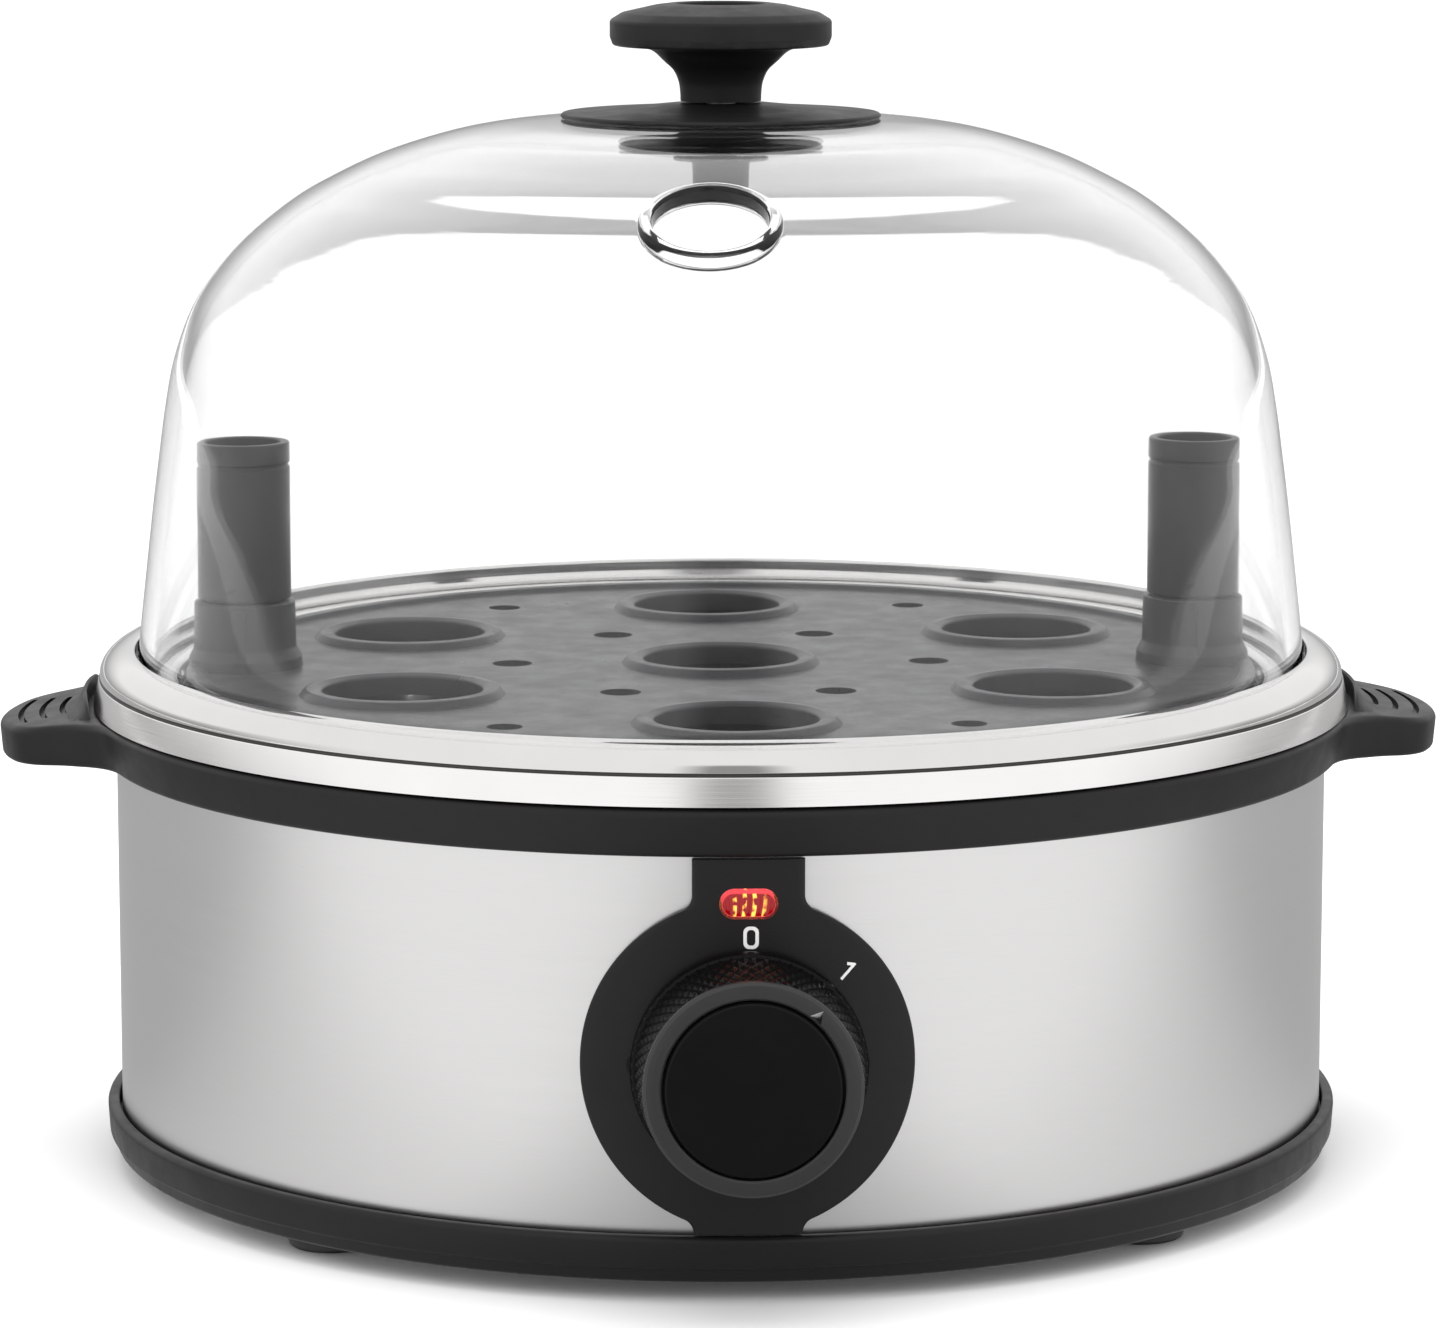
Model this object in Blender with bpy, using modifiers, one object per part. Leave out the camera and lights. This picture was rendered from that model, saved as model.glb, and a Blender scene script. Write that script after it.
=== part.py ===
"""Electric egg cooker for seven eggs: steel-wrapped base with two side handles, heated steel dish,
lift-out egg tray, clear domed lid and a turn dial with a red indicator.

Lengths are written in millimetres and scaled to metres by the helpers. +Z is up, the dial faces -Y and
the handles point along X. The origin is on the floor under the middle of the bounding box, so the round
body's own axis stands AXIS_Y behind it, which evens out how far the dial sticks out in front.
"""

import math

import bmesh
import bpy
from mathutils import Matrix, Vector

MM = 0.001

# ---- driving dimensions -------------------------------------------------------------------------------
GAP = 0.3               # clearance between pieces that touch
BIG, MEDIUM, SMALL = 36, 24, 12   # sides of a large, a middling and a small round

DIAL_REACH = 92.5       # body axis to the dial's front
GLAND_REACH = 82.5      # body axis to the cord gland's back
AXIS_Y = (DIAL_REACH - GLAND_REACH) / 2

FOOT_HEIGHT = 3.1
BASE_BOTTOM = 2.4
BASE_FLOOR_UNDER = 3.4
BASE_FLOOR = 5.0
BASE_TOP = 8.15
PAN_WALL_TOP = 12.0      # inner lip that the wrap stands against
BASE_RADIUS = 79.9
WRAP_RADIUS = 78.0
WRAP_SHEET = 0.6
WRAP_BOTTOM = 6.5
WRAP_TOP = 55.2
COLLAR_BOTTOM = 53.52
COLLAR_TOP = 59.34
COLLAR_RADIUS = 81.0
HANDLE_REACH = 93.0
HANDLE_TIP_RADIUS = 25.0
HANDLE_CORNER_RADIUS = 8.5
GUARD_HEIGHT = 2.0       # of the low wall that keeps a thumb off the hot dish, above the collar
DISH_SHEET = 1.0
DISH_FLOOR = 48.0
DOME_LEDGE = 64.2
TRAY_LEDGE = 61.0
SHIELD_FLOOR = 33.0
DOME_WALL = 2.0
DOME_TOP = 134.1
KNOB_TOP = 148.7
VENT_ANGLE = 266.3       # the steam vent's direction from the axis
VENT_RING = 52.5
TRAY_RADIUS = 69.0
DECK_TOP = 63.8
DECK_UNDER = 62.0
SEAT_RING = 47.0
SEAT_RADIUS = 10.0
POST_X = 61.5
POST_TOP = 92.9
SOCKET_TOP = 72.4
FASCIA_INNER = 78.3
FASCIA_FRONT = 79.5
DIAL_Z = 28.7
FASCIA_DISC = 19.6
LENS_Z = 48.0
LENS_WIDTH = 6.6
LENS_HEIGHT = 3.15
DIAL_ON_ANGLE = 42.0    # the dial's pointer, clockwise from the top
GLAND_Z = 22.0
PILLAR_RING = 73.0
PILLAR_ANGLES = (30, 150, 210, 330)
FOOT_RING = 70.2
FOOT_ANGLES = (45, 135, 225, 315)
STUD_RING = 48.6
STUD_ANGLES = (90, 210, 330)

FACING_FRONT = (math.radians(90), 0, 0)    # turns a piece's own +Z to -Y
FACING_BACK = (math.radians(-90), 0, 0)    # turns it to +Y

# ---- scene --------------------------------------------------------------------------------------------
for old in list(bpy.data.objects):
    bpy.data.objects.remove(old, do_unlink=True)

PARTS = bpy.data.collections.new("egg_cooker")
bpy.context.scene.collection.children.link(PARTS)
CUTTERS = bpy.data.collections.new("cutters")
bpy.context.scene.collection.children.link(CUTTERS)

BODY_AXIS = bpy.data.objects.new("body_axis", None)
BODY_AXIS.location = (0, AXIS_Y * MM, 0)
PARTS.objects.link(BODY_AXIS)


# ---- materials ----------------------------------------------------------------------------------------
def material(name, colour, roughness, metallic=0.0, transmission=0.0):
    made = bpy.data.materials.new(name)
    made.use_nodes = True
    shader = made.node_tree.nodes["Principled BSDF"]
    shader.inputs["Base Color"].default_value = (*colour, 1)
    shader.inputs["Roughness"].default_value = roughness
    shader.inputs["Metallic"].default_value = metallic
    shader.inputs["Transmission Weight"].default_value = transmission
    return made


BLACK_PLASTIC = material("black_plastic", (0.022, 0.020, 0.021), 0.42)
GLOSS_BLACK = material("gloss_black", (0.010, 0.010, 0.011), 0.12)
TRAY_PLASTIC = material("tray_plastic", (0.045, 0.046, 0.048), 0.38)
RUBBER = material("rubber", (0.030, 0.030, 0.030), 0.80)
SILICONE = material("silicone", (0.62, 0.62, 0.60), 0.55)
BRUSHED_STEEL = material("brushed_steel", (0.62, 0.61, 0.60), 0.30, metallic=1.0)
POLISHED_STEEL = material("polished_steel", (0.74, 0.72, 0.70), 0.10, metallic=1.0)
PLATED_STEEL = material("plated_steel", (0.60, 0.60, 0.58), 0.35, metallic=1.0)
ALUMINIUM = material("aluminium", (0.72, 0.73, 0.74), 0.40, metallic=1.0)
CLEAR_PLASTIC = material("clear_plastic", (0.96, 0.97, 0.97), 0.03, transmission=1.0)
RED_PLASTIC = material("red_plastic", (0.75, 0.02, 0.02), 0.15, transmission=0.6)
LAMP_GLASS = material("lamp_glass", (0.95, 0.70, 0.45), 0.05, transmission=0.9)
PHENOLIC = material("phenolic", (0.10, 0.055, 0.035), 0.50)
NYLON = material("nylon", (0.80, 0.79, 0.74), 0.45)
FIBRE_SLEEVE = material("fibre_sleeve", (0.78, 0.76, 0.70), 0.85)
LEAD_BROWN = material("lead_brown", (0.16, 0.07, 0.03), 0.50)
LEAD_BLUE = material("lead_blue", (0.03, 0.09, 0.35), 0.50)
LEAD_GREEN = material("lead_green", (0.16, 0.35, 0.05), 0.50)


# ---- outlines, all lists of (across, up) points --------------------------------------------------------
def arc(centre, radius, start, end, steps):
    """Points on a circle from one angle to another, in degrees, both ends included."""
    angles = [math.radians(start + (end - start) * i / steps) for i in range(steps + 1)]
    return [(centre[0] + radius * math.cos(a), centre[1] + radius * math.sin(a)) for a in angles]


def clockwise(points):
    """The outline in the order that a Screw at +X needs: down its outer side."""
    following = points[1:] + points[:1]
    area = sum(a[0] * b[1] - b[0] * a[1] for a, b in zip(points, following))
    return points if area < 0 else points[::-1]


def offset_line(points, distance):
    """An open line moved sideways, to its left for a positive distance, with mitred corners."""
    moved = []
    for i, point in enumerate(points):
        before = Vector(points[max(i - 1, 0)])
        after = Vector(points[min(i + 1, len(points) - 1)])
        here = Vector(point)
        legs = [leg.normalized() for leg in (here - before, after - here) if leg.length > 0]
        normals = [Vector((-leg.y, leg.x)) for leg in legs]
        middle = sum(normals, Vector((0, 0))).normalized()
        moved.append(tuple(here + middle * distance / middle.dot(normals[0])))
    return moved


def sheet_section(points, thickness):
    """The closed section of a sheet that lies to the left of an open line."""
    return points + offset_line(points, thickness)[::-1]


def stadium(width, height, steps=8):
    """A slot outline with round ends, centred on the origin."""
    radius = height / 2
    half = width / 2 - radius
    return arc((half, 0), radius, -90, 90, steps) + arc((-half, 0), radius, 90, 270, steps)


def polar(radius, degrees, height=0.0):
    angle = math.radians(degrees)
    return (radius * math.cos(angle), radius * math.sin(angle), height)


# ---- solids -------------------------------------------------------------------------------------------
def place(name, mesh, finish, location=(0, 0, 0), rotation=(0, 0, 0)):
    obj = bpy.data.objects.new(name, mesh)
    obj.location = [value * MM for value in location]
    obj.rotation_euler = rotation
    obj.parent = BODY_AXIS
    if finish is None:
        obj.hide_render = True
        obj.display_type = "WIRE"
        CUTTERS.objects.link(obj)
    else:
        obj.data.materials.append(finish)
        PARTS.objects.link(obj)
    return obj


def evaluated_mesh(obj):
    bpy.context.view_layer.update()
    graph = bpy.context.evaluated_depsgraph_get()
    return bpy.data.meshes.new_from_object(obj.evaluated_get(graph))


def turned(name, outline, finish, sides=BIG, location=(0, 0, 0), rotation=(0, 0, 0)):
    """A turned piece: a closed section, or one that starts and ends on the axis, swept round it."""
    outline = clockwise(outline)
    on_axis = [i for i, (r, _) in enumerate(outline) if r == 0]
    if on_axis:
        # start the line at the upper of the two points on the axis and leave the axis itself open
        first = max(on_axis, key=lambda i: outline[i][1])
        outline = outline[first:] + outline[:first]
    edges = [(i, i + 1) for i in range(len(outline) - 1)]
    if not on_axis:
        edges.append((len(outline) - 1, 0))
    mesh = bpy.data.meshes.new(name)
    mesh.from_pydata([(r * MM, 0, z * MM) for r, z in outline], edges, [])
    obj = place(name, mesh, finish, location, rotation)
    screw = obj.modifiers.new("turn", "SCREW")
    screw.steps = sides
    screw.render_steps = sides
    screw.use_merge_vertices = True
    screw.merge_threshold = 1e-6
    return obj


def prism(name, outline, low, high, finish, location=(0, 0, 0), rotation=(0, 0, 0)):
    """A flat outline made as thick as from low to high along the piece's own Z."""
    curve = bpy.data.curves.new(name, "CURVE")
    curve.dimensions = "2D"
    curve.fill_mode = "BOTH"
    curve.extrude = (high - low) / 2 * MM
    spline = curve.splines.new("POLY")
    spline.points.add(len(outline) - 1)
    for point, (x, y) in zip(spline.points, outline):
        point.co = (x * MM, y * MM, 0, 1)
    spline.use_cyclic_u = True
    drawn = bpy.data.objects.new(name, curve)
    CUTTERS.objects.link(drawn)
    mesh = evaluated_mesh(drawn)
    bpy.data.objects.remove(drawn)
    bpy.data.curves.remove(curve)
    mesh.transform(Matrix.Translation((0, 0, (low + high) / 2 * MM)))
    solid = bmesh.new()
    solid.from_mesh(mesh)
    bmesh.ops.remove_doubles(solid, verts=solid.verts, dist=1e-6)
    bmesh.ops.recalc_face_normals(solid, faces=solid.faces)
    solid.to_mesh(mesh)
    solid.free()
    mesh.materials.clear()
    return place(name, mesh, finish, location, rotation)


def rod(name, radius, start, end, finish, sides=SMALL):
    """A plain round bar between two points."""
    start, end = Vector(start), Vector(end)
    along = end - start
    shape = bmesh.new()
    bmesh.ops.create_cone(shape, cap_ends=True, segments=sides, radius1=radius * MM, radius2=radius * MM,
                          depth=along.length * MM)
    mesh = bpy.data.meshes.new(name)
    shape.to_mesh(mesh)
    shape.free()
    turn = Vector((0, 0, 1)).rotation_difference(along.normalized()).to_euler()
    return place(name, mesh, finish, (start + end) / 2, turn)


def block(name, low, high, finish, bevel=0.0, rotation=(0, 0, 0)):
    """A box between two corners, its edges rounded by a bevel."""
    low, high = Vector(low), Vector(high)
    shape = bmesh.new()
    bmesh.ops.create_cube(shape, size=1, matrix=Matrix.Diagonal(((high - low) * MM).to_4d()))
    mesh = bpy.data.meshes.new(name)
    shape.to_mesh(mesh)
    shape.free()
    obj = place(name, mesh, finish, (low + high) / 2, rotation)
    if bevel:
        rounding = obj.modifiers.new("rounding", "BEVEL")
        rounding.width = bevel * MM
        rounding.segments = 2
    return obj


def boolean(obj, operation, others):
    """Cuts the other objects from this one, or joins them to it, and removes them."""
    for other in others:
        step = obj.modifiers.new(operation.lower(), "BOOLEAN")
        step.operation = operation
        step.solver = "EXACT"
        step.object = other
        mesh = evaluated_mesh(obj)
        obj.modifiers.clear()
        obj.data = mesh
        bpy.data.objects.remove(other)


def cut(obj, *others):
    boolean(obj, "DIFFERENCE", others)


def join(obj, *others):
    boolean(obj, "UNION", others)


def lead(name, points, radius, finish):
    """An insulated wire through the given points, smoothed into one curve."""
    route = [Vector(point) for point in points]
    smooth = []
    for i in range(len(route) - 1):
        before, here = route[max(i - 1, 0)], route[i]
        there, after = route[i + 1], route[min(i + 2, len(route) - 1)]
        for step in range(2):
            t = step / 2
            smooth.append(0.5 * (2 * here + (there - before) * t
                                 + (2 * before - 5 * here + 4 * there - after) * t * t
                                 + (3 * here - before - 3 * there + after) * t ** 3))
    smooth.append(route[-1])
    curve = bpy.data.curves.new(name, "CURVE")
    curve.dimensions = "3D"
    curve.bevel_depth = radius * MM
    curve.bevel_resolution = 2
    curve.use_fill_caps = True
    spline = curve.splines.new("POLY")
    spline.points.add(len(smooth) - 1)
    for point, place_at in zip(spline.points, smooth):
        point.co = (*(place_at * MM), 1)
    return place(name, curve, finish)


# ---- base: pan, feet, wrap ----------------------------------------------------------------------------
GROOVE_INNER, GROOVE_OUTER = 77.0, 78.35      # the slot in pan and collar that holds the wrap


def make_base_pan():
    section = [
        (0, BASE_FLOOR), (75.2, BASE_FLOOR), (75.2, PAN_WALL_TOP), (GROOVE_INNER, PAN_WALL_TOP), (GROOVE_INNER, 6.2),
        (GROOVE_OUTER, 6.2), (GROOVE_OUTER, BASE_TOP), (BASE_RADIUS - 0.4, BASE_TOP),
        (BASE_RADIUS, BASE_TOP - 0.4), (79.5, 3.2), (78.9, BASE_BOTTOM), (77.4, BASE_BOTTOM),
        (76.6, BASE_FLOOR_UNDER), (0, BASE_FLOOR_UNDER),
    ]
    pan = turned("base_pan", section, BLACK_PLASTIC)
    for number, angle in enumerate(PILLAR_ANGLES):
        x, y, _ = polar(PILLAR_RING, angle)
        boss = rod(f"boss_{number}", 3.25, (x, y, 4.2), (x, y, PAN_WALL_TOP - GAP), None, 20)
        head_room = rod(f"head_room_{number}", 2.8, (x, y, 2.0), (x, y, 5.6), None)
        shank_room = rod(f"shank_room_{number}", 1.8, (x, y, 5.3), (x, y, PAN_WALL_TOP + 1), None)
        join(pan, boss)
        cut(pan, head_room, shank_room)
    # cooling slots: a rosette of round-ended slots through the floor
    for number in range(12):
        angle = number * 30 + 18.75
        slot = prism(f"slot_{number}", stadium(18, 3, 2), BASE_FLOOR_UNDER - 1, BASE_FLOOR + 1, None,
                     polar(30, angle), (0, 0, math.radians(angle)))
        cut(pan, slot)


def make_feet():
    section = [(0, FOOT_HEIGHT), (5.8, FOOT_HEIGHT), (5.8, 0.7), (5.3, 0), (0, 0)]
    for angle, where in zip(FOOT_ANGLES, ("back_right", "back_left", "front_left", "front_right")):
        turned(f"foot_{where}", section, RUBBER, 16, polar(FOOT_RING, angle))


def make_base_screws():
    section = [(0, 24.0), (1.4, 24.0), (1.4, 5.3), (2.5, 5.3), (2.5, 3.9), (1.9, 3.3), (0, 3.3)]
    for number, angle in enumerate(PILLAR_ANGLES, 1):
        turned(f"base_screw_{number}", section, PLATED_STEEL, 8, polar(PILLAR_RING, angle))


def make_wrap():
    inner = WRAP_RADIUS - WRAP_SHEET
    section = [(inner, WRAP_BOTTOM), (WRAP_RADIUS, WRAP_BOTTOM), (WRAP_RADIUS, WRAP_TOP), (inner, WRAP_TOP)]
    wrap = turned("steel_wrap", section, BRUSHED_STEEL)
    cut(wrap,
        rod("switch_room", 9.0, (0, -85, DIAL_Z), (0, -70, DIAL_Z), None, MEDIUM),
        prism("lamp_room", stadium(LENS_WIDTH + 1.4, LENS_HEIGHT + 1.4, 4), 70, 85, None,
              (0, 0, LENS_Z), FACING_FRONT),
        rod("peg_room_left", 1.7, (-13, -85, DIAL_Z), (-13, -70, DIAL_Z), None, 12),
        rod("peg_room_right", 1.7, (13, -85, DIAL_Z), (13, -70, DIAL_Z), None, 12),
        rod("gland_room", 6.0, (0, 85, GLAND_Z), (0, 70, GLAND_Z), None, 20))


# ---- collar with its two handles -----------------------------------------------------------------------
def handle_outline():
    """The right handle seen from above: a tongue of three arcs whose sides flare into the ring."""
    root, tip_angle, flare_angle = 80.2, 23.0, 70.0
    tip_centre = Vector((HANDLE_REACH - HANDLE_TIP_RADIUS, 0))
    inward = HANDLE_TIP_RADIUS - HANDLE_CORNER_RADIUS
    corner_centre = tip_centre + Vector(polar(inward, tip_angle)[:2])
    out = Vector(polar(1, flare_angle)[:2])
    flare = corner_centre + out * HANDLE_CORNER_RADIUS
    # the root fillet touches the corner's arc at the flare and the ring's own circle
    fillet = (flare.length_squared - root ** 2) / (2 * (root - flare.dot(out)))
    fillet_centre = flare + out * fillet
    root_angle = math.degrees(math.atan2(fillet_centre.y, fillet_centre.x))
    upper = arc(corner_centre, HANDLE_CORNER_RADIUS, tip_angle, flare_angle, 4)
    upper += arc(fillet_centre, fillet, 180 + flare_angle, 180 + root_angle, 4)[1:]
    lower = [(x, -y) for x, y in reversed(upper)]
    tip = arc(tip_centre, HANDLE_TIP_RADIUS, -tip_angle, tip_angle, 4)[1:-1]
    buried = arc((0, 0), 79.2, root_angle, -root_angle, 6)
    return lower + tip + upper + buried


def make_collar():
    section = [
        (80.0, COLLAR_BOTTOM), (COLLAR_RADIUS, COLLAR_TOP - 0.4), (COLLAR_RADIUS - 0.4, COLLAR_TOP),
        (71.5, COLLAR_TOP), (71.5, 55.5), (67.5, 55.5), (67.5, COLLAR_BOTTOM), (GROOVE_INNER, COLLAR_BOTTOM),
        (GROOVE_INNER, 55.5), (GROOVE_OUTER, 55.5), (GROOVE_OUTER, COLLAR_BOTTOM),
    ]
    collar = turned("collar_ring", section, BLACK_PLASTIC)
    outline = handle_outline()
    for number, angle in enumerate(PILLAR_ANGLES):
        x, y, _ = polar(PILLAR_RING, angle)
        join(collar, rod(f"pillar_{number}", 3.2, (x, y, PAN_WALL_TOP + GAP), (x, y, 56.5), None, 12))
        cut(collar, rod(f"pilot_{number}", 1.7, (x, y, 7.0), (x, y, 25.0), None, 12))
    guard = arc((0, 0), 83.0, -9, 9, 8) + arc((0, 0), 81.5, 9, -9, 8)
    for side, turn in (("right", 0), ("left", math.pi)):
        tongue = prism(f"tongue_{side}", outline, COLLAR_BOTTOM + 0.4, COLLAR_TOP, None, rotation=(0, 0, turn))
        wall = prism(f"guard_{side}", guard, COLLAR_TOP - 0.8, COLLAR_TOP + GUARD_HEIGHT, None,
                     rotation=(0, 0, turn))
        join(collar, tongue, wall)


# ---- dish, seal and heater -----------------------------------------------------------------------------
def make_dish():
    shoulder = arc((76.9, 63.6), 3.1, 0, 90, 3)
    line = [(80.9, COLLAR_TOP + GAP), (80.1, 63.3)] + shoulder + [
        (75.5, 65.9), (75.5, DOME_LEDGE), (70.0, DOME_LEDGE), (69.7, TRAY_LEDGE), (66.2, TRAY_LEDGE),
        (59.4, 50.0), (55.0, DISH_FLOOR), (0, DISH_FLOOR),
    ]
    turned("dish", sheet_section(line, DISH_SHEET), POLISHED_STEEL)


def make_heater():
    seal = [(73.0, COLLAR_TOP + GAP), (75.6, COLLAR_TOP + GAP), (74.9, 62.9), (73.4, 62.9)]
    turned("dish_seal", seal, SILICONE, MEDIUM)
    top = DISH_FLOOR - DISH_SHEET - GAP
    turned("heater_plate", [(14, top), (46, top), (46, top - 3.2), (14, top - 3.2)], ALUMINIUM, MEDIUM)
    element_z = top - 3.2 - GAP - 3.3
    bend, opening, pieces = 37.0, 38.0, 20
    sweep = 360 - 2 * opening
    route = [polar(bend, 90 + opening + sweep * i / pieces, element_z) for i in range(pieces + 1)]
    curve = bpy.data.curves.new("heating_element", "CURVE")
    curve.dimensions = "3D"
    curve.bevel_depth = 3.3 * MM
    curve.bevel_resolution = 2
    curve.use_fill_caps = True
    spline = curve.splines.new("POLY")
    spline.points.add(len(route) - 1)
    for point, where in zip(spline.points, route):
        point.co = (*(value * MM for value in where), 1)
    place("heating_element", curve, PLATED_STEEL)
    for side, sign in (("left", 1), ("right", -1)):
        start = Vector(polar(bend, 90 + sign * opening, element_z))
        along = Vector((math.sin(math.radians(90 + sign * opening)) * sign,
                        -math.cos(math.radians(90 + sign * opening)) * sign, 0))
        rod(f"element_pin_{side}", 1.3, start + along * 0.4, start + along * 9.0, PLATED_STEEL, 12)
    body = [(0, top), (8.6, top), (8.6, top - 1.6), (7.4, top - 1.6), (7.4, top - 7.6), (0, top - 7.6)]
    turned("thermostat", body, PHENOLIC, MEDIUM)
    strap_z = top - 7.6 - GAP
    strap = block("thermostat_strap", (-19.5, -4, strap_z - 1.0), (19.5, 4, strap_z), PLATED_STEEL)
    for number, x in enumerate((-17.6, 17.6)):
        post = block(f"strap_leg_{number}", (x - 1.9, -4, strap_z - 0.5), (x + 1.9, 4, top - 3.2 - GAP), None)
        join(strap, post)
    fuse_y = -24.0
    fuse_z = top - 3.2 - GAP - 2.6
    rod("thermal_fuse", 2.4, (-9, fuse_y, fuse_z), (9, fuse_y, fuse_z), FIBRE_SLEEVE)


def make_shield():
    line = [(8.0, SHIELD_FLOOR), (53.5, SHIELD_FLOOR), (60.0, 41.0), (64.0, 52.4), (69.3, 52.4)]
    shield = turned("heat_shield", sheet_section(line, 0.8), PLATED_STEEL, MEDIUM)
    for number, angle in enumerate(STUD_ANGLES, 1):
        x, y, _ = polar(STUD_RING, angle)
        cut(shield, rod(f"stud_room_{number}", 2.5, (x, y, 30), (x, y, 36), None, 12))
        rod(f"dish_stud_{number}", 2.0, (x, y, 28.4), (x, y, DISH_FLOOR - DISH_SHEET - GAP), PLATED_STEEL, 12)
        nut = prism(f"stud_nut_{number}", arc((0, 0), 4.2, 0, 300, 5), 29.2, SHIELD_FLOOR - GAP,
                    PLATED_STEEL, (x, y, 0))
        cut(nut, rod("nut_thread", 2.3, (x, y, 28), (x, y, 34), None, 12))


# ---- front: fascia, lamp, switch, dial -----------------------------------------------------------------
def fascia_outline():
    """Seen from the front about the dial's axis: a disc with a stem up to the collar and one down."""
    fillet = 2.0
    up_half, down_half = 6.65, 6.4
    up_end = COLLAR_BOTTOM - GAP - DIAL_Z
    down_end = BASE_TOP + GAP - DIAL_Z

    def root(half):
        across = half + fillet
        away = math.sqrt((FASCIA_DISC + fillet) ** 2 - across ** 2)
        return across, away, math.degrees(math.atan2(away, across))

    up_x, up_y, up_angle = root(up_half)
    down_x, down_y, down_angle = root(down_half)
    right = [(down_half, down_end)]
    right += arc((down_x, -down_y), fillet, 180, 180 - down_angle, 4)
    right += arc((0, 0), FASCIA_DISC, -down_angle, up_angle, 16)[1:-1]
    right += arc((up_x, up_y), fillet, 180 + up_angle, 180, 4)
    right.append((up_half, up_end))
    return right + [(-x, y) for x, y in reversed(right)]


def make_fascia():
    ring = [(FASCIA_INNER, 5), (FASCIA_FRONT, 5), (FASCIA_FRONT, 57), (FASCIA_INNER, 57)]
    fascia = turned("fascia", ring, BLACK_PLASTIC, 2 * BIG)
    stencil = prism("stencil", fascia_outline(), 60, 95, None, (0, 0, DIAL_Z), FACING_FRONT)
    boolean(fascia, "INTERSECT", [stencil])
    cut(fascia,
        rod("shaft_room", 4.4, (0, -85, DIAL_Z), (0, -70, DIAL_Z), None, 20),
        prism("lens_room", stadium(LENS_WIDTH + 0.6, LENS_HEIGHT + 0.6, 5), 70, 85, None,
              (0, 0, LENS_Z), FACING_FRONT))
    for side in (-1, 1):
        join(fascia, rod("peg", 1.3, (side * 13, -78.4, DIAL_Z), (side * 13, -75.9, DIAL_Z), None, 12))


def make_lamp():
    prism("indicator_lens", stadium(LENS_WIDTH, LENS_HEIGHT, 5), 75.0, 80.3, RED_PLASTIC,
          (0, 0, LENS_Z), FACING_FRONT)
    rod("indicator_lamp", 1.9, (0, -74.5, LENS_Z), (0, -67.0, LENS_Z), LAMP_GLASS)
    holder = block("lamp_holder", (-4.4, -73.8, 44.9), (4.4, -68.2, 51.1), NYLON)
    cut(holder, rod("lamp_room_inner", 2.25, (0, -80, LENS_Z), (0, -60, LENS_Z), None, 20))


def make_switch():
    bracket = block("switch_bracket", (-14, -75.1, DIAL_Z - 13), (14, -74.1, DIAL_Z + 13), PLATED_STEEL)
    foot = block("bracket_foot", (-14, -74.6, DIAL_Z - 13), (14, -64.0, DIAL_Z - 12), None)
    join(bracket, foot)
    cut(bracket, rod("bushing_room", 5.0, (0, -80, DIAL_Z), (0, -70, DIAL_Z), None, 20))
    body = block("rotary_switch", (-12, -73.8, DIAL_Z - 9), (12, -58.5, DIAL_Z + 7), PHENOLIC)
    join(body, rod("bushing", 4.6, (0, -77.9, DIAL_Z), (0, -73.0, DIAL_Z), None, 20))
    cut(body, rod("bore", 3.15, (0, -80, DIAL_Z), (0, -60.0, DIAL_Z), None, 20))
    for number, x in enumerate((-7, 0, 7)):
        join(body, block(f"tab_{number}", (x - 1.6, -59.0, DIAL_Z - 4), (x + 1.6, -53.5, DIAL_Z - 3.2), None))
    nut = prism("bushing_nut", arc((0, 0), 7.6, 0, 300, 5), 75.4, 77.5, PLATED_STEEL,
                (0, 0, DIAL_Z), FACING_FRONT)
    cut(nut, rod("nut_bore", 4.9, (0, -80, DIAL_Z), (0, -70, DIAL_Z), None, 20))


def make_dial():
    face = DIAL_REACH - 80.0     # depth of the dial in front of its own origin
    at = (0, -80.0, DIAL_Z)
    shaft = [(0, 8.6), (2.8, 8.6), (2.8, -19.5), (0, -19.5)]
    turned("dial_shaft", shaft, PLATED_STEEL, SMALL, at, FACING_FRONT)
    section = [
        (13.9, 0.4), (13.9, 1.6), (13.0, face - 1.9), (12.3, face - 0.7), (10.9, face - 0.3),
        (10.7, face - 2.0), (0, face - 2.0), (0, face - 3.4), (3.1, face - 3.4), (3.1, 1.4), (5.4, 1.4),
        (5.4, 8.0), (11.0, 8.0), (12.2, 0.4),
    ]
    knob = turned("dial_knob", section, BLACK_PLASTIC, MEDIUM, at, FACING_FRONT)
    angle = math.radians(DIAL_ON_ANGLE)
    pointer = arc((0, 11.55), 0.75, -30, 210, 2)
    mark = prism("pointer", pointer, face - 0.9, face + 1, None, at, (math.radians(90), angle, 0))
    cut(knob, mark)
    cap = [(0, face), (9.6, face - 0.15), (10.4, face - 0.6), (10.4, face - 1.7), (0, face - 1.7)]
    turned("dial_cap", cap, GLOSS_BLACK, MEDIUM, at, FACING_FRONT)


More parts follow.
